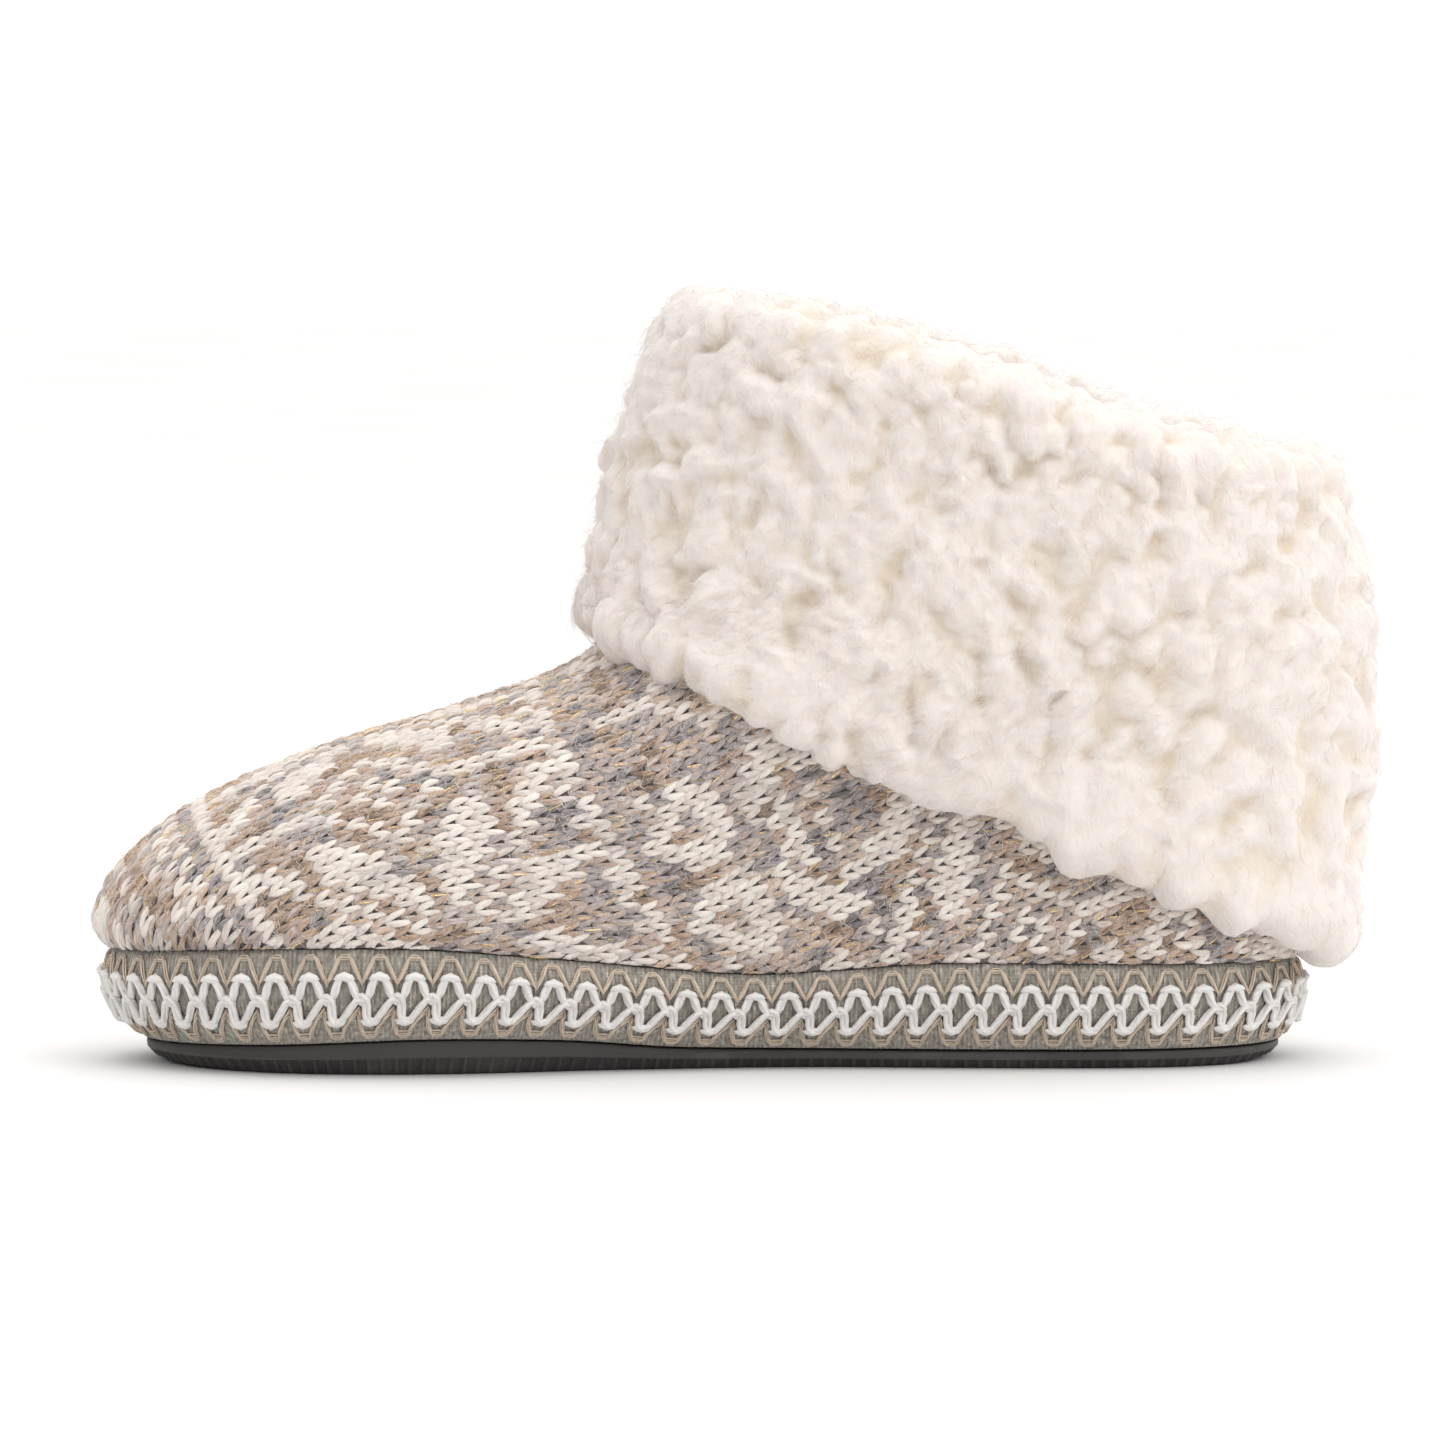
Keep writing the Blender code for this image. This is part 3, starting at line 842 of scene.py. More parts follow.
def make_outsole(colours):
    """Rubber sole with upright rib bars round the lower half of its edge."""
    middle = (HEEL_TUCK + TOE_TUCK) / 2 + OUTSOLE_STEP
    turn = EvenRound(RIB_PITCH, middle)
    # one rib: how far it stands out at places across its pitch
    across = np.array([0.0, 0.10, 0.165, 0.22, 0.5, 0.78, 0.835, 0.90])
    stands = np.array([1.0, 0.93, 0.60, 0.0, 0.0, 0.0, 0.60, 0.93])
    count = 2 * turn.repeats
    place = (np.arange(count)[:, None] + across).ravel()
    rib = np.tile(stands, count)
    angle = turn.angle(place)
    inset = foot_inset(angle) + OUTSOLE_STEP
    plan = inset_outline(angle, inset)
    station = station_at(plan[:, 0])
    bottom, top = floor_rise(station), edge_height(station)
    rib_top = bottom + (top - bottom) * RIB_BAND
    bevel = (rib_top - bottom) * BEVEL_SLOPE
    loops = []

    def loop(extra_inset, height):
        ring = inset_outline(angle, inset + extra_inset)
        loops.append(np.column_stack([ring, height]))

    loop(bevel + RIB_DEPTH + 0.0015, bottom)
    for share in (0.0, 0.10, 0.17, 0.30, 0.5, 0.7, 0.84, 0.93, 1.0):
        # the ribs round off at their heads and feet
        groove = RIB_DEPTH * np.clip((1 - share) / 0.12, 0, 1) ** 0.6
        shown = rib * np.clip((share - 0.08) / 0.09, 0, 1) ** 0.5
        loop(bevel * (1 - share) + groove * (1 - shown), bottom + (rib_top - bottom) * share)
    for share, bulge in ((0.04, 0.0), (0.5, 0.00012), (0.93, 0.0)):
        loop(-bulge, rib_top + (top - rib_top) * share)
    loop(0.0001, top - 0.0001)
    loop(0.0010, top)
    faces = slab_faces(loops, len(angle))
    rubber = rubber_material(colours.rubber)
    obj = mesh_piece("outsole_rubber", np.vstack(loops), faces, rubber)
    return fit_piece(obj, "outsole", "outsole")


# ------------------------------------------------------- platform and braid


JERSEY_GRID = 0.0012
JERSEY_PUFF = 0.00035


def make_platform(colours):
    """Foam platform in its jersey wrap."""
    turn = EvenRound(JERSEY_GRID, 0.0)
    columns = 2 * turn.repeats
    angle = turn.angle(np.arange(columns))
    rows = np.linspace(0, 1, 17)
    round_share = np.arange(columns) / columns
    # the wrap puffs a little more and a little less along its way
    start = np.random.default_rng(5).uniform(0, tau)
    puffs = 1 + 0.3 * np.sin(round_share * tau * 23 + start)
    loops, uv = [], []
    for row in rows:
        puff = JERSEY_PUFF * sin(pi * row) * puffs + 0.0001
        loops.append(platform_point(angle, np.full(columns, row), puff))
    for inset in (0.0012, 0.006):
        ring = inset_outline(angle, np.full(columns, PLATFORM_TOP_TUCK + inset))
        loops.append(np.column_stack([ring, platform_top(station_at(ring[:, 0]))]))
    for row in (*rows, 1.03, 1.2):
        uv.append(np.column_stack([round_share * 0.98, np.full(columns, row * 0.8)]))
    jersey = jersey_material(colours.wrap)
    faces = slab_faces(loops, columns)
    obj = mesh_piece("platform_wrap", np.vstack(loops), faces, jersey, uv=np.vstack(uv))
    return fit_piece(obj, "platform", "platform")


# The braid's cords and strands. A depth is counted down from the band's top edge.
PLIES, PLY_RADIUS, PLY_SPREAD = 3, 0.00060, 0.00056
STRAND_RADIUS, STRAND_SPREAD = 0.00023, 0.00042
MIDDLE_DEPTH = 0.0095
LEAN = 0.27
# valley, crest and extra lift of each white cord's wave, and how square the wave is
WHITE_WAVES = ((0.0101, 0.0052, 0.0), (0.0092, 0.0147, 0.0003))
WAVE_SQUARENESS = 1.2
# foot and top of each row of beige arches, and where its strands lie round the arch
BEIGE_ARCHES = (
    (0.0069, 0.0014, (0.0, pi / 2, pi)),
    (0.0112, 0.0178, (0.0, pi / 2, pi)),
    (0.0128, 0.0168, (pi / 2,)),
)
CAP_DEPTHS = (0.0050, 0.0149)
CAP_LENGTH, CAP_HEIGHT = 0.0023, 0.00085


def braid_lean(turn, place, depth):
    """How far the braid's lower half is shifted towards the toe, in repeats, on both sides."""
    lean = np.where(place % (2 * turn.repeats) < turn.repeats, LEAN, -LEAN)
    ends = np.minimum(place, 2 * turn.repeats - place)
    ends = np.minimum(ends, np.abs(place - turn.repeats))
    below = np.clip((depth - MIDDLE_DEPTH) / 0.005, 0, 1.2)
    return lean * below * np.clip(ends / 1.5, 0, 1)


def braid_strand(turn, depth_of, out_of, spin, spread, twist, steps):
    """One ply of a cord that waves round the platform once in each repeat."""
    place = np.arange(2 * turn.repeats * steps) / steps
    phase = place % 1.0
    depth = depth_of(phase)
    spin = spin + tau * place * twist
    slope = np.gradient(depth) / (BRAID_PITCH / steps)
    aslant = np.sqrt(1 + slope**2)
    along = spread * np.cos(spin) * slope / aslant / BRAID_PITCH
    down = spread * np.cos(spin) / aslant
    angle = turn.angle(place + braid_lean(turn, place, depth) + along)
    share = np.clip(1 - (depth + down) / PLATFORM_HEIGHT, 0.005, 1)
    return platform_point(angle, share, out_of(phase) + spread * np.sin(spin) * 0.8)


def braid_caps(turn, depth, first):
    """Oval stitches that close the windows, one in each repeat: points and faces."""
    rounds, sides = 5, 8
    points, faces = [], []
    for k in range(2 * turn.repeats):
        place = k + 0.5
        lean = braid_lean(turn, np.array(place), depth)
        for step in range(rounds):
            tilt = pi / 2 * (1 - step / (rounds - 1)) * 0.98
            for side in range(sides):
                around = tau * side / sides
                x = CAP_LENGTH * sin(tilt) * cos(around)
                z = CAP_HEIGHT * sin(tilt) * sin(around)
                bow = 0.0007 * (x / CAP_LENGTH) ** 2 * (1 if depth < MIDDLE_DEPTH else -1)
                out = 0.0017 + 0.0011 * cos(tilt)
                points.append((place + lean + x / BRAID_PITCH, depth + z + bow, out))
        start = first + k * rounds * sides
        faces.append(grid_faces(rounds, sides, first=start))
    place, down, out = np.array(points).T
    return platform_point(turn.angle(place), 1 - down / PLATFORM_HEIGHT, out), np.vstack(faces)


def make_braid(colours):
    """Crochet braid: two white cords that meet between the windows, and beige strands along
    each edge."""
    turn = EvenRound(BRAID_PITCH, 0.0)

    def white_wave(valley, crest):
        def depth_of(phase):
            crested = np.tanh(-np.cos(tau * phase) * WAVE_SQUARENESS) / np.tanh(WAVE_SQUARENESS)
            return valley + (crest - valley) * (crested + 1) / 2

        return depth_of

    def beige_arch(foot, top):
        def depth_of(phase):
            share = np.clip((np.abs(phase - 0.5) * 2 - 0.36) / 0.64, 0, 1)
            return top + (foot - top) * share**0.85

        return depth_of

    def white_out(lift):
        return lambda phase: 0.0012 + lift + 0.0004 * np.cos(tau * phase) ** 2

    def beige_out(phase):
        return 0.0007 + 0.0003 * np.cos(tau * phase)

    white = []
    for valley, crest, lift in WHITE_WAVES:
        wave, out = white_wave(valley, crest), white_out(lift)
        for ply in range(PLIES):
            spin = tau * ply / PLIES
            white.append(braid_strand(turn, wave, out, spin, PLY_SPREAD, 1.0, 14))
    points, faces = swept_tubes(np.array(white), PLY_RADIUS, 5)
    parts, sheets = [points], [faces]
    for depth in CAP_DEPTHS:
        cap_points, cap_faces = braid_caps(turn, depth, sum(map(len, parts)))
        parts.append(cap_points)
        sheets.append(cap_faces)
    points = np.vstack(parts)
    tone = np.random.default_rng(2).uniform(0.4, 0.8, len(points))
    cord = woollen("white_cord", colours.cord_white, dark=0.80, light=1.12, bump=0.0004)
    obj = mesh_piece("braid_white_cord", points, np.vstack(sheets), cord, tone=tone)
    fit_piece(obj, "braid", "braid")

    beige = [
        braid_strand(turn, beige_arch(foot, top), beige_out, spin, STRAND_SPREAD, 0.0, 12)
        for foot, top, spins in BEIGE_ARCHES
        for spin in spins
    ]
    points, faces = swept_tubes(np.array(beige), STRAND_RADIUS, 4)
    tone = np.random.default_rng(3).uniform(0.2, 0.9, len(points))
    cord = woollen("beige_cord", colours.cord_beige, dark=0.6, light=1.35, bump=0.0003)
    obj = mesh_piece("braid_beige_cord", points, faces, cord, tone=tone)
    fit_piece(obj, "braid")


# ------------------------------------------------------------ insole, lining


def make_insole(pile):
    """Fleece footbed with a low curly pile."""
    columns = 200
    angle = np.arange(columns) / columns * tau
    base = FEATHER_INSET + UPPER_WALL + 2 * CLEARANCE
    outline = inset_outline(angle, np.full(columns, base))
    middle = np.column_stack([outline[:, 0], swing(station_at(outline[:, 0]))])
    under = platform_top(station_at(outline[:, 0])) + CLEARANCE
    loops = [np.column_stack([outline, under])]
    rng = np.random.default_rng(4)
    for share in np.concatenate([[0.0], np.linspace(0.012, 0.97, 44)]):
        ring = outline + (middle - outline) * share
        rounded = np.clip(share / 0.05, 0, 1) ** 0.5
        spots = np.column_stack([ring, np.zeros(columns)])
        curls = np.abs(soft_noise(spots, 0.011, 51)[:, 0]) * 0.0016 - 0.0012
        curls = (curls + soft_noise(spots, 0.004, 52)[:, 0] * 0.0004) * rounded
        height = platform_top(station_at(ring[:, 0])) + CLEARANCE
        height = height + INSOLE_THICKNESS * (0.72 + 0.28 * rounded) + curls
        loops.append(np.column_stack([ring, height]))
    points = np.vstack(loops)
    # the middle of a square a little longer than the boot
    uv = (points[:, :2] + 0.14) / 0.30
    tone = rng.uniform(0.45, 0.9, len(points))
    faces = slab_faces(loops, columns)
    obj = mesh_piece("fleece_insole", points, faces, pile, uv=uv, tone=tone)
    return fit_piece(obj, "insole", "insole")


LINING_CURL = 0.0009


def make_shell(colours, pile):
    """The upper's wall: a backing darkened as painted shade, which shows between the stitches, and
    fleece inside.
    """
    columns = 180
    angle = np.arange(columns) / columns * tau
    levels = np.linspace(0, 1, 48)
    outside, inside = [], []
    rng = np.random.default_rng(6)
    for level in levels:
        point, normal, _ = last_frame(angle, np.full(columns, level))
        outside.append(point + normal * 0.00002)
        curls = rng.uniform(0, LINING_CURL, columns)[:, None] * min(1.0, level * 8)
        wall = normal * (UPPER_WALL - 0.0002 + curls)
        wall[:, 2] *= level > 0.02
        inside.append(point - wall)
    # painted shade: the backing is a darkened grey yarn, standing for the shade in the gaps between
    # the stitches
    backing = woollen("knit_backing_shade", tinted(colours.yarn_grey, 0.42), sheen=0.1)
    faces = grid_faces(len(levels), columns)
    tone = np.full(len(levels) * columns, 0.4)
    obj = mesh_piece("upper_backing_shade", np.vstack(outside), faces[:, ::-1], backing, tone=tone)
    fit_piece(obj, "upper", "upper")
    points = np.vstack(inside)
    uv = np.column_stack([np.tile(angle / tau, len(levels)), np.repeat(levels, columns)])
    tone = rng.uniform(0.4, 0.9, len(points))
    obj = mesh_piece("upper_fleece_lining", points, faces, pile, uv=uv, tone=tone)
    return fit_piece(obj, "upper")


# --------------------------------------------------------------------- knit


class KnitCloth:
    """Maps places in the knit, counted in stitches across from the ridge and courses from the toe,
    to the upper."""

    # the courses fan round a line across the boot, by x and z, and are counted at this radius
    PIVOT = (0.271, -0.460)
    FAN_RADIUS = 0.60
    # how far to each side of the ridge the guides run under the cuff
    GUIDES = (-0.056, 0.056)
    # fineness of the tables, in stitches and courses
    STEP = 0.25

    def __init__(self, stitch, course):
        angles = np.linspace(0.02, tau - 0.02, 721)
        levels = np.linspace(0, 1, 241)
        grid = last_point(angles[None, :], levels[:, None])
        place = self.rise(grid)
        ridge = np.argmin(np.abs(angles - pi))
        edge = cuff_edge_level(np.array([pi]))[0]
        low = place[0].min() - 0.44 * course
        self.rows = np.arange(0, (place.max() - low) / course, self.STEP)
        wales, places = [], []
        guides = None
        for row in self.rows:
            wanted = low + row * course
            found = np.array(
                [np.interp(wanted, place[:, k], levels) for k in range(len(angles))]
            )
            # past the upper's lower edge the places run on evenly
            past = place[0] > wanted
            found[past] = ((wanted - place[0]) / (place[8] - place[0]) * levels[8])[past]
            points = last_point(angles, np.clip(found, 0, 1))
            length = np.linalg.norm(np.diff(points, axis=0), axis=1)
            run = np.concatenate([[0], np.cumsum(length)])
            run -= run[ridge]
            if found[ridge] > edge - 0.01:
                # the ridge is under the cuff: each side follows a wale of its own
                if guides is None:
                    guides = [[self.crossing(points, run, at), at] for at in self.GUIDES]
                for guide, side in zip(guides, (slice(0, ridge), slice(ridge, None))):
                    at, guide[0] = self.nearest(points[side], run[side], guide[0])
                    run[side] = run[side] - at + guide[1]
            wales.append(run / stitch)
            places.append(found)
        self.reach = max(
            np.abs(wale[found > 0]).max() for wale, found in zip(wales, places) if np.any(found > 0)
        )
        half = np.ceil(self.reach) + 1
        self.across = np.arange(-half, half + 0.01, self.STEP)
        self.angle_table = np.empty((len(self.rows), len(self.across)))
        self.level_table = np.empty_like(self.angle_table)
        for k in range(len(self.rows)):
            wale = np.maximum.accumulate(wales[k])
            turn = np.interp(self.across, wale, angles)
            self.angle_table[k] = turn
            self.level_table[k] = np.interp(turn, angles, places[k])
            outside = (self.across < wale[0]) | (self.across > wale[-1])
            self.level_table[k][outside] = -1

    @staticmethod
    def crossing(points, run, at):
        """The point of a course at a length along it."""
        return np.array([np.interp(at, run, points[:, k]) for k in range(3)])

    @staticmethod
    def nearest(points, run, guide):
        """The length along a course where it passes nearest to a point, and that place."""
        start, step = points[:-1], np.diff(points, axis=0)
        share = np.clip(
            np.einsum("ij,ij->i", guide - start, step)
            / (np.einsum("ij,ij->i", step, step) + 1e-15),
            0,
            1,
        )
        foot = start + step * share[:, None]
        best = np.argmin(np.linalg.norm(foot - guide, axis=1))
        return run[best] + (run[best + 1] - run[best]) * share[best], foot[best]

    def rise(self, points):
        """How far along the wales a point lies."""
        x = points[..., 0] - self.PIVOT[0]
        z = points[..., 2] - self.PIVOT[1]
        return np.arctan2(x, z) * self.FAN_RADIUS

    def look_up(self, across, rows):
        """Angle and level at places in the knit."""
        col = np.clip((across - self.across[0]) / self.STEP, 0, len(self.across) - 1.001)
        row = np.clip(rows / self.STEP, 0, len(self.rows) - 1.001)
        c, r = col.astype(int), row.astype(int)
        fc, fr = col - c, row - r

        def blend(table):
            low = table[r, c] * (1 - fc) + table[r, c + 1] * fc
            high = table[r + 1, c] * (1 - fc) + table[r + 1, c + 1] * fc
            return low * (1 - fr) + high * fr

        return blend(self.angle_table), blend(self.level_table)


def arm_line(share):
    """The middle of a stitch's arm, across in stitches and along in courses."""
    return 0.055 + 0.40 * share + 0.05 * np.sin(pi * share), -0.82 + 1.62 * share


ARM_LIFT = 0.00090
YARN_THICKNESS = 0.0021
# shares of the way along an arm, with its half width in stitches and its lift
ARM_RINGS = (
    (0.00, 0.100, 0.05),
    (0.12, 0.175, 0.36),
    (0.30, 0.225, 0.74),
    (0.50, 0.235, 0.92),
    (0.70, 0.215, 0.82),
    (0.88, 0.160, 0.48),
    (1.00, 0.075, 0.10),
)
ARM_TURNS = (-115, -70, -24, 24, 70, 115)


def arm_shape():
    """One arm of a stitch as an arched leaf: across and along in stitches and courses, out in
    metres, and its place across and along the arm for the yarn's streaks."""
    points, streaks = [], []
    for share, half, lift in ARM_RINGS:
        x, y = arm_line(share)
        for turn in map(radians, ARM_TURNS):
            aside = half * sin(turn)
            out = lift * ARM_LIFT + half * YARN_THICKNESS * cos(turn)
            points.append((x + aside, y - 0.16 * aside, out))
            streaks.append((aside * 3.2, share * 5.2))
    faces = grid_faces(len(ARM_RINGS), len(ARM_TURNS), closed_columns=False)
    return np.array(points), np.array(streaks), faces


# The knit's chart: half a repeat, from its middle wale to its edge. The star is
# read outwards from its middle course, and the bands by their course, counted from the toe.
STAR = (
    "........#..#.",
    "...###...#..#",
    "..#.####..#..",
    ".#.#.####..#.",
    ".##.#.####..#",
    ".###.#.###..#",
    "..###.#.....#",
    "...##..##...#",
    "...##...##..#",
    "....#....##.#",
    "#.#.#.#.#.#.#",
    ".###.###.###.",
)
BANDS = {
    33: "...#.........",
    34: "..###.#.....#",
    35: ".##.##......#",
    36: ".##..##.....#",
    37: ".######.....#",
    38: "..####.....#.",
    39: "..........#..",
    40: "..###....#...",
    41: ".#.###...#...",
    42: "###.###...#..",
    43: ".....##....#.",
    44: "#.#.#.#.#.#.#",
}
TOE_BANDS = {
    0: "#############",
    1: "#############",
    2: "##.###.###.##",
    4: "#.#.#.#.#.#.#",
    6: "#...#...#...#",
    7: ".#.#.#.#.#.#.",
    8: "#.#.#.#.#.#.#",
    10: "#############",
}
TOE_COURSES = 11
REPEAT_WALES, REPEAT_COURSES, STAR_COURSE = 24, 34, 20

# How brown the melange ground's yarn is, by course. Below nothing, it is mostly grey.
GROUND = (
    (0, 0.3), (4, 1.0), (9, -0.9), (11, 0.8), (15, -0.3), (17, 1.1), (19, 0.9), (21, 0.1),
    (24, 0.9), (26, 0.9), (28, -0.8), (30, 0.9), (33, -0.6), (36, 0.5), (39, -0.9), (42, 0.5),
    (45, -0.8), (47, 0.8), (50, -0.5), (52, -0.9), (60, 0.9), (63, 0.3), (70, 0.3),
)


def is_cream(wale, course):
    """True where the chart has the cream yarn."""
    place = abs((wale + REPEAT_WALES // 2) % REPEAT_WALES - REPEAT_WALES // 2)
    if course < TOE_COURSES:
        row = TOE_BANDS.get(course)
    else:
        course = (course - TOE_COURSES) % REPEAT_COURSES + TOE_COURSES
        row = BANDS.get(course)
        from_middle = abs(course - STAR_COURSE)
        # the star's last two rows come once, above it
        if from_middle < len(STAR) - 2 or 0 <= course - STAR_COURSE < len(STAR):
            row = STAR[from_middle]
    return bool(row) and row[place] == "#"


# What the knit's finest parts measure, and how many there are
GOLD_SHARE, GOLD_HALF_WIDTH = 0.80, 0.00017
HAIR_COUNT, HAIR_HALF_WIDTH = 22000, 0.00006


def make_knit(sizes, colours):
    """Patterned knit: every stitch is two leaf-shaped arms that lie on the upper, with a gold
    thread in places."""
    cloth = KnitCloth(sizes.stitch_width, sizes.course_height)
    rng = np.random.default_rng(sizes.seed)
    half = int(cloth.reach) + 2
    wales, courses = np.meshgrid(
        np.arange(-half, half + 1), np.arange(0, int(cloth.rows[-1])), indexing="ij"
    )
    wales, courses = wales.ravel(), courses.ravel()
    angle, level = cloth.look_up(wales.astype(float), courses.astype(float))
    edge = cuff_edge_level(angle)
    keep = (level > -0.006) & (level < edge + 0.07)
    wales, courses = wales[keep], courses[keep]
    cream = np.array([is_cream(int(w), int(c)) for w, c in zip(wales, courses)])
    # the ground turns from grey to brown in runs along the courses
    run = np.sin(wales * 0.31 + courses * 1.9) * 0.55 + np.sin(wales * 0.12 - courses * 0.8) * 0.4
    brown = run + np.interp(courses, *zip(*GROUND)) + rng.normal(0, 0.6, len(wales))
    taupe = (brown > 0.3) & ~cream
    grey = ~taupe & ~cream
    tone = np.clip(rng.normal(0.5, 0.22, len(wales)), 0, 1)
    shape, streaks, faces = arm_shape()

    def lay(across, rows, out):
        turn, level = cloth.look_up(across, rows)
        # below the upper's lower edge the yarn is tucked in
        out = out * np.clip(1 + level / 0.02, 0.05, 1)
        point, normal, _ = last_frame(turn, np.clip(level, 0, 1))
        return point + normal * out[..., None]

    def stitches(name, chosen, material):
        total = int(chosen.sum())
        arms, arm_faces, tones, uvs, yarn = [], [], [], [], []
        wale, course = wales[chosen][:, None], courses[chosen][:, None]
        for first, side in ((0, -1), (total, 1)):
            # no two stitches are quite alike
            uneven = rng.normal(0, 1, (total, 4))
            across = wale + side * shape[:, 0] * (1 + 0.07 * uneven[:, :1]) + 0.03 * uneven[:, 3:]
            rows = course + shape[:, 1] * (1 + 0.06 * uneven[:, 1:2])
            out = shape[:, 2] * (1 + 0.13 * uneven[:, 2:3]) + 0.00001
            arms.append(lay(across, rows, out).reshape(-1, 3))
            order = faces if side > 0 else faces[:, ::-1]
            starts = (first + np.arange(total)) * len(shape)
            arm_faces.append((order[None] + starts[:, None, None]).reshape(-1, 4))
            tones.append(np.repeat(tone[chosen], len(shape)))
            u = (across.ravel() + half + 2) / (2 * half + 4)
            v = (rows.ravel() + 2) / (cloth.rows[-1] + 4)
            uvs.append(np.column_stack([u, v]))
            # each arm has a piece of the streaks to itself
            offset = rng.uniform(0, 500, (total, 1, 2))
            yarn.append((streaks[None] + offset).reshape(-1, 2))
        obj = mesh_piece(
            name,
            np.vstack(arms),
            np.vstack(arm_faces),
            material,
            uv=np.vstack(uvs),
            tone=np.concatenate(tones),
            strands=np.vstack(yarn),
        )
        fit_piece(obj, "upper")

    cream_yarn, taupe_yarn, grey_yarn = colours.yarn_cream, colours.yarn_taupe, colours.yarn_grey
    cream_shades = [tinted(cream_yarn, share) for share in (0.72, 0.94, 1.06, 1.16)]
    taupe_shades = [tinted(taupe_yarn, share) for share in (0.40, 0.76, 1.15)]
    taupe_shades += [tinted(grey_yarn, 1.1), tinted(cream_yarn, 0.85)]
    grey_shades = [tinted(grey_yarn, share) for share in (0.38, 0.74, 1.05)]
    grey_shades += [tinted(taupe_yarn, 1.3), tinted(cream_yarn, 0.85)]
    stitches("knit_cream_pattern", cream, yarn_material("cream_yarn", cream_shades))
    stitches("knit_taupe_ground", taupe, yarn_material("taupe_yarn", taupe_shades))
    stitches("knit_grey_ground", grey, yarn_material("grey_yarn", grey_shades))

    # the gold thread shows as short glints that run with an arm
    ground = np.flatnonzero(~cream)
    glints = rng.choice(ground, int(len(ground) * GOLD_SHARE), replace=False)
    share = np.linspace(0.25, 0.8, 4)
    side = rng.choice([-1, 1], len(glints))[:, None]
    off = rng.uniform(-0.16, 0.16, (len(glints), 1))
    aside, ahead = arm_line(share)
    across = wales[glints][:, None] + side * (aside + off)
    rows = courses[glints][:, None] + ahead + rng.normal(0, 0.05, (len(glints), 4))
    out = 0.00085 * np.sin(pi * share) ** 0.6 + 0.00056 - np.abs(off) * 0.0011
    gold = gold_thread_material()
    obj = ribbon_piece("knit_gold_thread", lay(across, rows, out), GOLD_HALF_WIDTH, gold, rng)
    fit_piece(obj, "upper")

    # a fine halo of loose fibres
    at = rng.integers(0, len(wales), HAIR_COUNT)
    across = (wales[at] + rng.uniform(-0.5, 0.5, HAIR_COUNT))[:, None]
    rows = (courses[at] + rng.uniform(-0.5, 0.5, HAIR_COUNT))[:, None]
    share = np.linspace(0, 1, 3)
    heading = rng.uniform(0, tau, HAIR_COUNT)[:, None]
    reach = rng.uniform(0.25, 0.95, HAIR_COUNT)[:, None] * share
    bend = rng.normal(0, 0.5, HAIR_COUNT)[:, None] * share * share * 0.4
    across = across + reach * np.cos(heading) + bend * np.sin(heading)
    rows = rows + reach * np.sin(heading) - bend * np.cos(heading)
    out = 0.0010 + rng.uniform(0.0, 0.0011, HAIR_COUNT)[:, None] * share**1.2
    halo = woollen("knit_halo", cream_yarn, dark=0.7, light=1.1)
    obj = ribbon_piece("knit_loose_fibres", lay(across, rows, out), HAIR_HALF_WIDTH, halo, rng)
    fit_piece(obj, "upper")


# --------------------------------------------------------------------- cuff

# Where the cuff's profile passes to the roll, to the outside and to the turned-under edge
RIM_AT, OUTSIDE_AT, UNDER_AT = 0.17, 0.31, 0.91
# Depth of the ground that the wool stands on, and how far it stays below the roll's top
LINING_DEPTH, OUTSIDE_DEPTH, ROLL_ROOM = 0.0030, 0.0084, 0.0035
EDGE_LIFT = 0.0052
TUFT_WIDTH, TUFT_HANG = 0.015, 0.0034
# Places along the profile, and how high the locks rise there
LOCK_PLACES = (0.12, 0.20, 0.85, 0.93, 1.0)
LOCK_HEIGHTS = (0.0024, 0.0043, 0.0043, 0.0050, 0.0030)
CURL_HEIGHT, WRINKLE_HEIGHT = 0.0017, 0.00028
# How sharply locks and curls melt into each other: smaller is sharper
LOCK_BLEND, CURL_BLEND = 0.06, 0.05
WOOL_HAIRS = 27000


def cuff_profile(angle, along):
    """The ground that the wool stands on, at a share of the way from the lining's foot to the
    lower edge."""
    edge = cuff_edge_level(angle)
    rim, rim_normal, rim_up = last_frame(angle, np.ones_like(angle))
    centre = rim - rim_normal * UPPER_WALL / 2
    inner_level = 1 - (1 - edge) * 3 / 8 * np.clip(1 - along / RIM_AT, 0, 1)
    point_in, normal_in, _ = last_frame(angle, inner_level)
    inside = point_in - normal_in * (UPPER_WALL + CLEARANCE + LINING_DEPTH)
    turn = np.clip((along - RIM_AT) / (OUTSIDE_AT - RIM_AT), 0, 1) * pi
    deep = LINING_DEPTH + (OUTSIDE_DEPTH - LINING_DEPTH) * (1 - np.cos(turn)) / 2
    reach = (UPPER_WALL / 2 + CLEARANCE + deep) * np.cos(turn)
    height = (CUFF_ROLL - ROLL_ROOM) * np.sin(turn)
    roll = centre - rim_normal * reach[..., None] + rim_up * height[..., None]
    down = np.clip((along - OUTSIDE_AT) / (UNDER_AT - OUTSIDE_AT), 0, 1)
    under = np.clip((along - UNDER_AT) / (1 - UNDER_AT), 0, 1) * pi
    point_out, normal_out, up_out = last_frame(angle, 1 - (1 - edge) * down)
    thick = OUTSIDE_DEPTH * (1 - PILE_THINNING * down)
    radius = thick / 2
    out = CLEARANCE + np.where(under > 0, radius + radius * np.cos(under), thick)
    # tufts hang below the edge by differing amounts
    tuft = np.abs(soft_noise(point_out, TUFT_WIDTH, 33)[:, 0]) * TUFT_HANG
    drop = EDGE_LIFT * down**3 - np.sin(under) * radius * 0.75
    drop = drop - tuft * down**8 * (1 + 0.35 * np.cos(under)) / 1.35
    outside = point_out + normal_out * out[..., None] + up_out * drop[..., None]
    first = (along < RIM_AT)[..., None]
    last = (along > OUTSIDE_AT)[..., None]
    return np.where(first, inside, np.where(last, outside, roll))


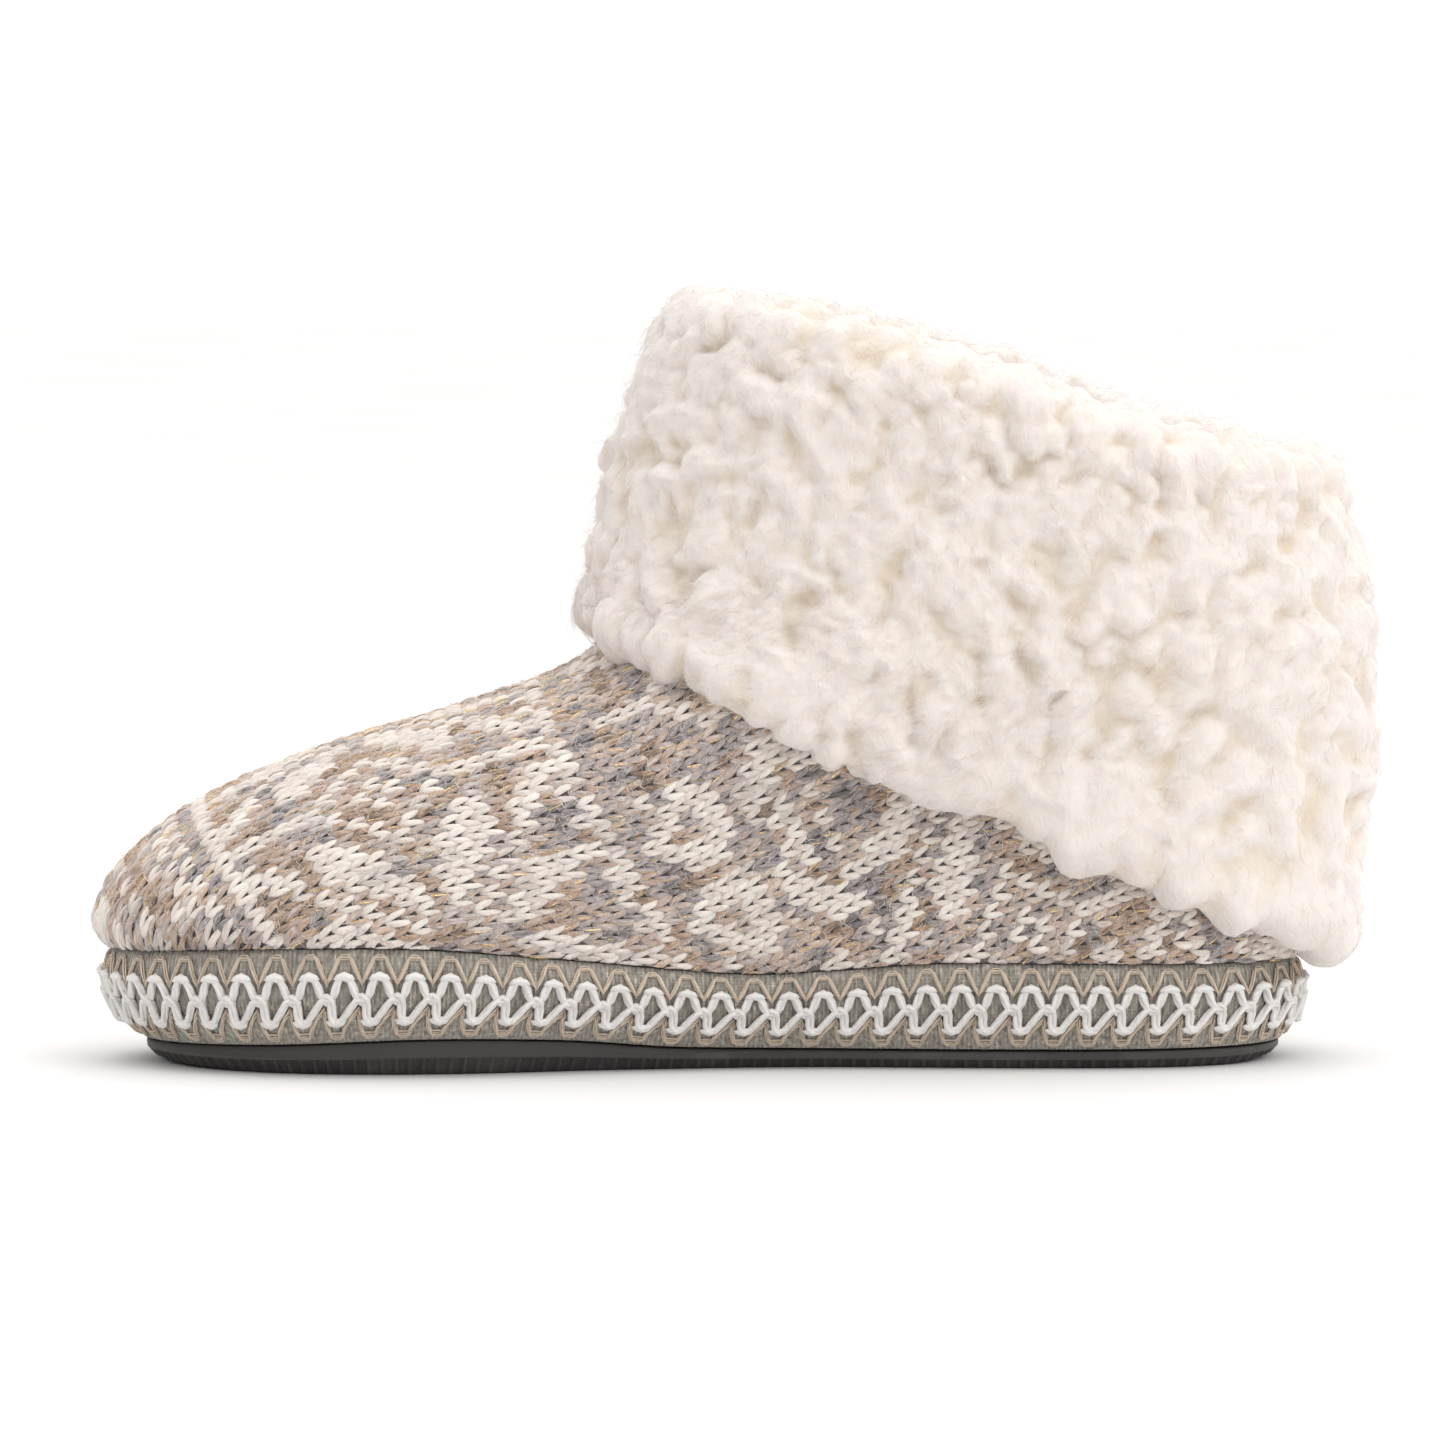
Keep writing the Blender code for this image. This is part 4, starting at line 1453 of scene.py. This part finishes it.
class CuffGrid:
    """A fine grid over the cuff's ground, which the wool raises into locks."""

    def __init__(self, columns, rows):
        self.columns, self.rows = columns, rows
        turn = np.arange(columns) / columns * tau
        # more columns where the cuff runs straight along the sides
        self.angle = turn + 0.10 * np.sin(2 * turn)
        self.along = np.linspace(0, 1, rows)
        angle, along = np.meshgrid(self.angle, self.along)
        self.points = cuff_profile(angle.ravel(), along.ravel()).reshape(rows, columns, 3)
        self.refresh()

    def refresh(self):
        self.ahead = unit(np.gradient(self.points, axis=0))
        self.around = unit(np.roll(self.points, -1, axis=1) - np.roll(self.points, 1, axis=1))
        self.out = unit(np.cross(self.around, self.ahead))

    def sample(self, values, col, row):
        """Values of the grid at fractions of a column and a row."""
        row = np.clip(row, 0, self.rows - 1.001)
        r, c = np.floor(row).astype(int), np.floor(col).astype(int)
        fr, fc = (row - r)[..., None], (col - c)[..., None]
        c0, c1 = c % self.columns, (c + 1) % self.columns
        low = values[r, c0] * (1 - fc) + values[r, c1] * fc
        high = values[r + 1, c0] * (1 - fc) + values[r + 1, c1] * fc
        return low * (1 - fr) + high * fr


def soft_noise(points, scale, seed, octaves=2):
    """Smooth noise from a few crossed waves, three values for each point."""
    rng = np.random.default_rng(seed)
    total = np.zeros(points.shape)
    for octave in range(octaves):
        for _ in range(5):
            wave = rng.normal(0, 1, (3, 3)) * tau / scale * 2**octave * 0.5
            total += np.sin(points @ wave + rng.uniform(0, tau, 3)) / 2**octave
    return total / 4


def spread_locks(grid, length, slim, gap, tries, rng):
    """Places for locks of a length over the whole cuff, kept a distance apart."""
    col = rng.uniform(0, grid.columns, tries)
    row = rng.uniform(1, grid.rows - 2, tries)
    along = row / (grid.rows - 1)
    down = np.clip((along - OUTSIDE_AT) / (1 - OUTSIDE_AT), 0, 1)
    size = length * np.where(along > RIM_AT * 0.9, 0.78 + 0.62 * down, 0.65)
    size = size * rng.uniform(0.60, 1.35, tries)
    wide = size * rng.uniform(slim * 0.8, slim * 1.3, tries) * (1.1 - 0.38 * down)
    apart = np.sqrt(size * wide) * gap
    point = grid.sample(grid.points, col, row)
    kept = []
    for k in range(tries):
        if kept:
            offset = point[kept] - point[k]
            if np.any(np.einsum("ij,ij->i", offset, offset) < ((apart[kept] + apart[k]) / 2) ** 2):
                continue
        kept.append(k)
    kept = np.array(kept)
    col, row, down = col[kept], row[kept], down[kept]
    # neighbouring locks lean much the same way
    lean = soft_noise(point[kept], 0.035, 31)[:, 0] * (0.45 + 0.9 * (1 - down))
    lean = lean + rng.normal(0, 0.45, len(kept))
    return {
        "col": col,
        "row": row,
        "down": down,
        "point": point[kept],
        "length": size[kept],
        "width": wide[kept],
        "lean": lean,
        "tilt": rng.uniform(0.15, 1.0, len(kept)) * (0.35 + 0.65 * down),
        "height": rng.uniform(0.55, 1.20, len(kept)),
    }


def lock_directions(grid, locks):
    """Along and across each lock, from its lean."""
    ahead = grid.sample(grid.ahead, locks["col"], locks["row"])
    around = grid.sample(grid.around, locks["col"], locks["row"])
    lean = locks["lean"][:, None]
    return (
        unit(ahead * np.cos(lean) + around * np.sin(lean)),
        unit(around * np.cos(lean) - ahead * np.sin(lean)),
    )


def raise_wool(points, locks, directions, blend):
    """Height of the wool at each point, from domes that lean over their lower ends and melt into
    each other, with the lock that stands highest there."""
    count = len(points)
    total, best, owner = np.ones(count), np.zeros(count), np.zeros(count, int)
    for k in range(len(locks["col"])):
        reach = locks["length"][k]
        offset = points - locks["point"][k]
        near = np.flatnonzero(np.abs(offset[:, 0]) < reach)
        offset = offset[near]
        close = np.einsum("ij,ij->i", offset, offset) < reach * reach
        near, offset = near[close], offset[close]
        u = offset @ directions[0][k] / (locks["length"][k] * 0.60)
        v = offset @ directions[1][k] / (locks["width"][k] * 0.60)
        # each lock bends a little and narrows towards its lower end
        v = (v + 0.30 * u * u * np.sign(locks["lean"][k])) * (1 + 0.35 * u)
        rounded = np.clip(1 - u * u - v * v, 0, None) ** 0.5
        share = np.clip((u + 1) / 2, 0, 1)
        end = np.clip((share - 0.72) / 0.28, 0, 1)
        hanging = share * (2 - share) * np.sqrt(1 - end**2) * np.clip(1 - v * v, 0, None) ** 0.5
        tilt = locks["tilt"][k]
        dome = locks["height"][k] * ((1 - tilt) * rounded + tilt * hanging)
        total[near] += np.exp(dome / blend) - 1
        higher = dome > best[near]
        chosen = near[higher]
        best[chosen] = dome[higher]
        owner[chosen] = k
    return blend * np.log(total), owner


def soften(field):
    """The field with its steps rounded off over its neighbours."""
    beside = (np.roll(field, 1, axis=1) + np.roll(field, -1, axis=1)) / 2
    field = field * 0.5 + beside * 0.5
    padded = np.vstack([field[:1], field, field[-1:]])
    return field * 0.5 + (padded[:-2] + padded[2:]) / 4


def make_cuff(sizes, colours, pile):
    """Turned-down pile cuff: locks of curly wool over the roll, the outside and the lining's top."""
    rng = np.random.default_rng(sizes.seed + 1)
    columns, rows = 384, 176
    grid = CuffGrid(columns, rows)
    shape = (rows, columns)
    ground = grid.points.reshape(-1, 3)
    # places are shifted a little, so no dome is quite round
    bent = ground + soft_noise(ground, 0.012, 21) * 0.0022 + soft_noise(ground, 0.005, 22) * 0.0011
    locks = spread_locks(grid, sizes.lock_length, 0.62, 0.79, 9000, rng)
    big, owner = raise_wool(bent, locks, lock_directions(grid, locks), LOCK_BLEND)
    owner = owner.reshape(shape)
    # finer curls follow the lock they lie on
    curls = spread_locks(grid, sizes.lock_length * 0.50, 0.50, 0.72, 12000, rng)
    under = owner[curls["row"].astype(int), curls["col"].astype(int) % columns]
    curls["lean"] = locks["lean"][under] + rng.normal(0, 0.5, len(under))
    small, _ = raise_wool(bent, curls, lock_directions(grid, curls), CURL_BLEND)
    edge_fade = np.ones(rows)
    edge_fade[-5:] = np.linspace(1, 0.1, 5)
    edge_fade[:3] = (0.2, 0.6, 0.9)
    deep = np.interp(grid.along, LOCK_PLACES, LOCK_HEIGHTS)[:, None]
    height = soften(big.reshape(shape)) * deep + soften(small.reshape(shape)) * CURL_HEIGHT
    wrinkle = soft_noise(ground, 0.0030, 23, 3)[:, 0].reshape(shape) * WRINKLE_HEIGHT
    raised = (height + wrinkle) * edge_fade[:, None]
    # the wool rises along a smoothed direction, so no part of it folds over another
    way = grid.out
    for _ in range(8):
        way = soften(way)
    grid.points = grid.points + unit(way) * raised[..., None]
    grid.refresh()

    # back along the upper's two faces, so the cuff is closed
    edge = cuff_edge_level(grid.angle)
    loops = list(grid.points)
    for level in (edge, edge + (1 - edge) / 8, edge + (1 - edge) / 2, np.ones(columns)):
        point, normal, _ = last_frame(grid.angle, level)
        loops.append(point + normal * CLEARANCE)
    for step in (0, 3):
        point, normal, _ = last_frame(grid.angle, 1 - (1 - edge) / 8 * step)
        loops.append(point - normal * (UPPER_WALL + CLEARANCE))
    points = np.vstack(loops)
    faces = grid_faces(len(loops), columns, closed_rows=True)
    u = np.tile(np.arange(columns) / columns, len(loops))
    v = np.repeat(np.linspace(0, 1, len(loops)), columns)
    # the tone for the pile's painted shade: high on a crest, low in a crease and where the cuff lies
    # on the upper, where the pile is painted darker and warmer
    depth = np.clip((big - 0.15) / 0.60, 0, 1) * 0.75 + np.clip(small, 0, 1) * 0.30
    tucked_shade_tone = np.full(len(points) - rows * columns, 0.2)
    tone = np.concatenate([np.clip(depth, 0, 1), tucked_shade_tone])
    obj = mesh_piece("cuff_wool", points, faces, pile, uv=np.column_stack([u, v]), tone=tone)
    fit_piece(obj, "cuff", "cuff")
    make_fibres(sizes, colours, grid, locks, owner, rng)


def make_fibres(sizes, colours, grid, locks, owner, rng):
    """Loose wool fibres that lie along their lock and lift off at their tips."""
    count, steps = WOOL_HAIRS, 4
    col = rng.uniform(0, grid.columns, count)
    row = rng.uniform(2, grid.rows - 4, count)
    at = (row.astype(int), col.astype(int) % grid.columns)
    lean = locks["lean"][owner[at]] + rng.normal(0, 0.45, count)
    row_length = np.linalg.norm(np.gradient(grid.points, axis=0), axis=-1)
    col_length = np.linalg.norm(
        (np.roll(grid.points, -1, axis=1) - np.roll(grid.points, 1, axis=1)) / 2, axis=-1
    )
    run = sizes.fibre_length * rng.uniform(0.35, 1.1, count)
    curl = rng.normal(0, 1.1, count)
    lift = np.abs(rng.normal(0, 0.0007, count)) + 0.0001
    t = np.linspace(0, 1, steps)
    turn = lean[:, None] + curl[:, None] * t
    ahead = np.cumsum(np.cos(turn), axis=1) - np.cos(turn[:, :1])
    aside = np.cumsum(np.sin(turn), axis=1) - np.sin(turn[:, :1])
    rows = row[:, None] + ahead * (run / row_length[at])[:, None] / (steps - 1)
    cols = col[:, None] + aside * (run / col_length[at])[:, None] / (steps - 1)
    rows = np.clip(rows, 0, grid.rows - 2)
    path = grid.sample(grid.points, cols, rows)
    out = grid.sample(grid.out, cols, rows)
    path = path + out * (lift[:, None] * (0.25 + 1.5 * t**1.4))[..., None]
    loose = woollen("loose_wool", colours.pile, dark=0.85, light=1.1, sheen=0.2)
    obj = ribbon_piece("cuff_loose_fibres", path, HAIR_HALF_WIDTH, loose, rng)
    return fit_piece(obj, "cuff")


def ribbon_piece(name, paths, half_width, material, rng):
    """Fine fibres as narrow ribbons that taper to their tips."""
    count, steps, _ = paths.shape
    ahead = np.gradient(paths, axis=1)
    flat = unit(np.cross(ahead, rng.normal(0, 1, (count, 1, 3))))
    taper = np.linspace(1, 0.25, steps)
    half = half_width * taper[None, :, None]
    points = np.stack([paths - flat * half, paths + flat * half], axis=2).reshape(-1, 3)
    base = np.arange(count)[:, None] * steps * 2 + np.arange(steps - 1)[None, :] * 2
    faces = np.stack([base, base + 1, base + 3, base + 2], axis=-1).reshape(-1, 4)
    tone = np.repeat(rng.uniform(0.4, 0.9, count), steps * 2)
    return mesh_piece(name, points, faces, material, tone=tone)


# -------------------------------------------------------------------- stage


FLOOR_REACH = 6.0
# name, place, what it is aimed at, power and width of each lamp
SOFTBOXES = (
    ("key_softbox", (0.75, -0.9, 1.1), (0, 0, 0.08), 4.0, 0.9),
    ("top_softbox", (0.0, 0.1, 1.3), (0, 0, 0.08), 1.8, 1.2),
    ("back_softbox", (0.2, 1.2, 0.9), (0, 0, 0.1), 1.5, 1.0),
)
SKY_STRENGTH = 2.0
CAMERA_PLACE = (0.00344, -2.0, 0.21)
CAMERA_TILT = 3.93
CAMERA_LENS = 232.35


def make_floor(colour):
    mesh = bpy.data.meshes.new("floor")
    reach = FLOOR_REACH
    corners = [(-reach, -reach, 0), (reach, -reach, 0), (reach, reach, 0), (-reach, reach, 0)]
    mesh.from_pydata(corners, [], [(0, 1, 2, 3)])
    made, wire, shader = new_material("studio_floor")
    speck = wire.noise(object_place(wire), 8.0)
    shade = wire.ramp(speck, [(0.3, tinted(colour, 0.99)), (0.7, tinted(colour, 1.01))])
    wire.feed(shader.inputs["Base Color"], shade)
    shader.inputs["Roughness"].default_value = 0.9
    shader.inputs["Specular IOR Level"].default_value = 0.0
    mesh.materials.append(made)
    link("floor", mesh)


def add_softbox(name, place, target, power, width):
    light = bpy.data.lights.new(name, "AREA")
    light.energy = power
    light.shape = "RECTANGLE"
    light.size = light.size_y = width
    lamp = link(name, light)
    lamp.location = place
    aim = Vector(target) - Vector(place)
    lamp.rotation_euler = aim.to_track_quat("-Z", "Y").to_euler()


def make_sky():
    """The room's light: brightest from above and from the heel's side, softer from the toe and
    the front."""
    world = bpy.data.worlds.new("studio")
    world.use_nodes = True
    wire = Wiring(world.node_tree)
    direction = wire.add("ShaderNodeTexCoord").outputs["Generated"]
    way = wire.add("ShaderNodeSeparateXYZ", {0: direction}).outputs

    def along(axis, stops):
        return wire.ramp(wire.math("ADD", wire.math("MULTIPLY", way[axis], 0.5), 0.5), stops)

    side = along("X", [(0.0, 0.14), (0.38, 0.34), (0.45, 0.53), (1.0, 0.66)])
    front = along("Y", [(0.0, 0.55), (0.5, 0.80), (0.9, 1.0)])
    low = wire.math("MULTIPLY", side, front)
    high = wire.ramp(way["Z"], [(0.20, 0.0), (0.70, 1.0)])
    background = world.node_tree.nodes["Background"]
    wire.feed(background.inputs["Color"], wire.mix(high, low, (0.68, 0.68, 0.68, 1)))
    background.inputs["Strength"].default_value = SKY_STRENGTH
    bpy.context.scene.world = world


def make_stage(colours):
    """Pale floor, soft studio light and a camera at the photograph's angle."""
    make_floor(colours.floor)
    for softbox in SOFTBOXES:
        add_softbox(*softbox)
    make_sky()
    camera = bpy.data.cameras.new("camera")
    camera.sensor_width = 36
    camera.lens = CAMERA_LENS
    camera.clip_end = 30
    obj = link("camera", camera)
    obj.location = CAMERA_PLACE
    obj.rotation_euler = (radians(90 - CAMERA_TILT), 0, 0)
    bpy.context.scene.camera = obj
    bpy.context.scene.view_settings.view_transform = "Standard"


# ---------------------------------------------------------------- operators


class BOOT_OT_sole(bpy.types.Operator):
    """Makes the ribbed rubber outsole"""

    bl_idname = "boot.sole"
    bl_label = "Outsole"

    def execute(self, context):
        make_outsole(context.scene.boot_colours)
        return {"FINISHED"}


class BOOT_OT_platform(bpy.types.Operator):
    """Makes the platform in its jersey wrap and the crochet braid round it"""

    bl_idname = "boot.platform"
    bl_label = "Platform and braid"

    def execute(self, context):
        make_platform(context.scene.boot_colours)
        make_braid(context.scene.boot_colours)
        return {"FINISHED"}


class BOOT_OT_knit(bpy.types.Operator):
    """Makes the upper's backing and its patterned stitches"""

    bl_idname = "boot.knit"
    bl_label = "Knit upper"

    def execute(self, context):
        scene = context.scene
        colours = scene.boot_colours
        lining = pile_material("lining_fleece", colours.pile, colours.pile_crease_shade)
        make_shell(colours, lining)
        make_insole(lining)
        make_knit(scene.boot_sizes, colours)
        return {"FINISHED"}


class BOOT_OT_cuff(bpy.types.Operator):
    """Makes the turned-down pile cuff with its locks and loose fibres"""

    bl_idname = "boot.cuff"
    bl_label = "Pile cuff"

    def execute(self, context):
        scene = context.scene
        colours = scene.boot_colours
        wool = pile_material("curly_wool", colours.pile, colours.pile_crease_shade)
        make_cuff(scene.boot_sizes, colours, wool)
        return {"FINISHED"}


class BOOT_OT_stage(bpy.types.Operator):
    """Makes the floor, the lights and the camera"""

    bl_idname = "boot.stage"
    bl_label = "Stage"

    def execute(self, context):
        make_stage(context.scene.boot_colours)
        return {"FINISHED"}


OPERATORS = (BOOT_OT_sole, BOOT_OT_platform, BOOT_OT_knit, BOOT_OT_cuff, BOOT_OT_stage)


class BOOT_PT_panel(bpy.types.Panel):
    """Lists the boot's pieces, sizes and colours"""

    bl_label = "Slipper boot"
    bl_space_type = "VIEW_3D"
    bl_region_type = "UI"
    bl_category = "Boot"

    def draw(self, context):
        for operator in OPERATORS:
            self.layout.operator(operator.bl_idname)
        for group in (context.scene.boot_sizes, context.scene.boot_colours):
            for name in group.bl_rna.properties.keys():
                if name not in ("rna_type", "name"):
                    self.layout.prop(group, name)


CLASSES = (BootSizes, BootColours, *OPERATORS, BOOT_PT_panel)


def register():
    for cls in CLASSES:
        bpy.utils.register_class(cls)
    bpy.types.Scene.boot_sizes = bpy.props.PointerProperty(type=BootSizes)
    bpy.types.Scene.boot_colours = bpy.props.PointerProperty(type=BootColours)


def unregister():
    del bpy.types.Scene.boot_colours
    del bpy.types.Scene.boot_sizes
    for cls in reversed(CLASSES):
        bpy.utils.unregister_class(cls)


def main():
    register()
    bpy.ops.boot.sole()
    bpy.ops.boot.platform()
    bpy.ops.boot.knit()
    bpy.ops.boot.cuff()
    bpy.ops.boot.stage()
    bpy.context.view_layer.update()


if __name__ == "__main__":
    main()
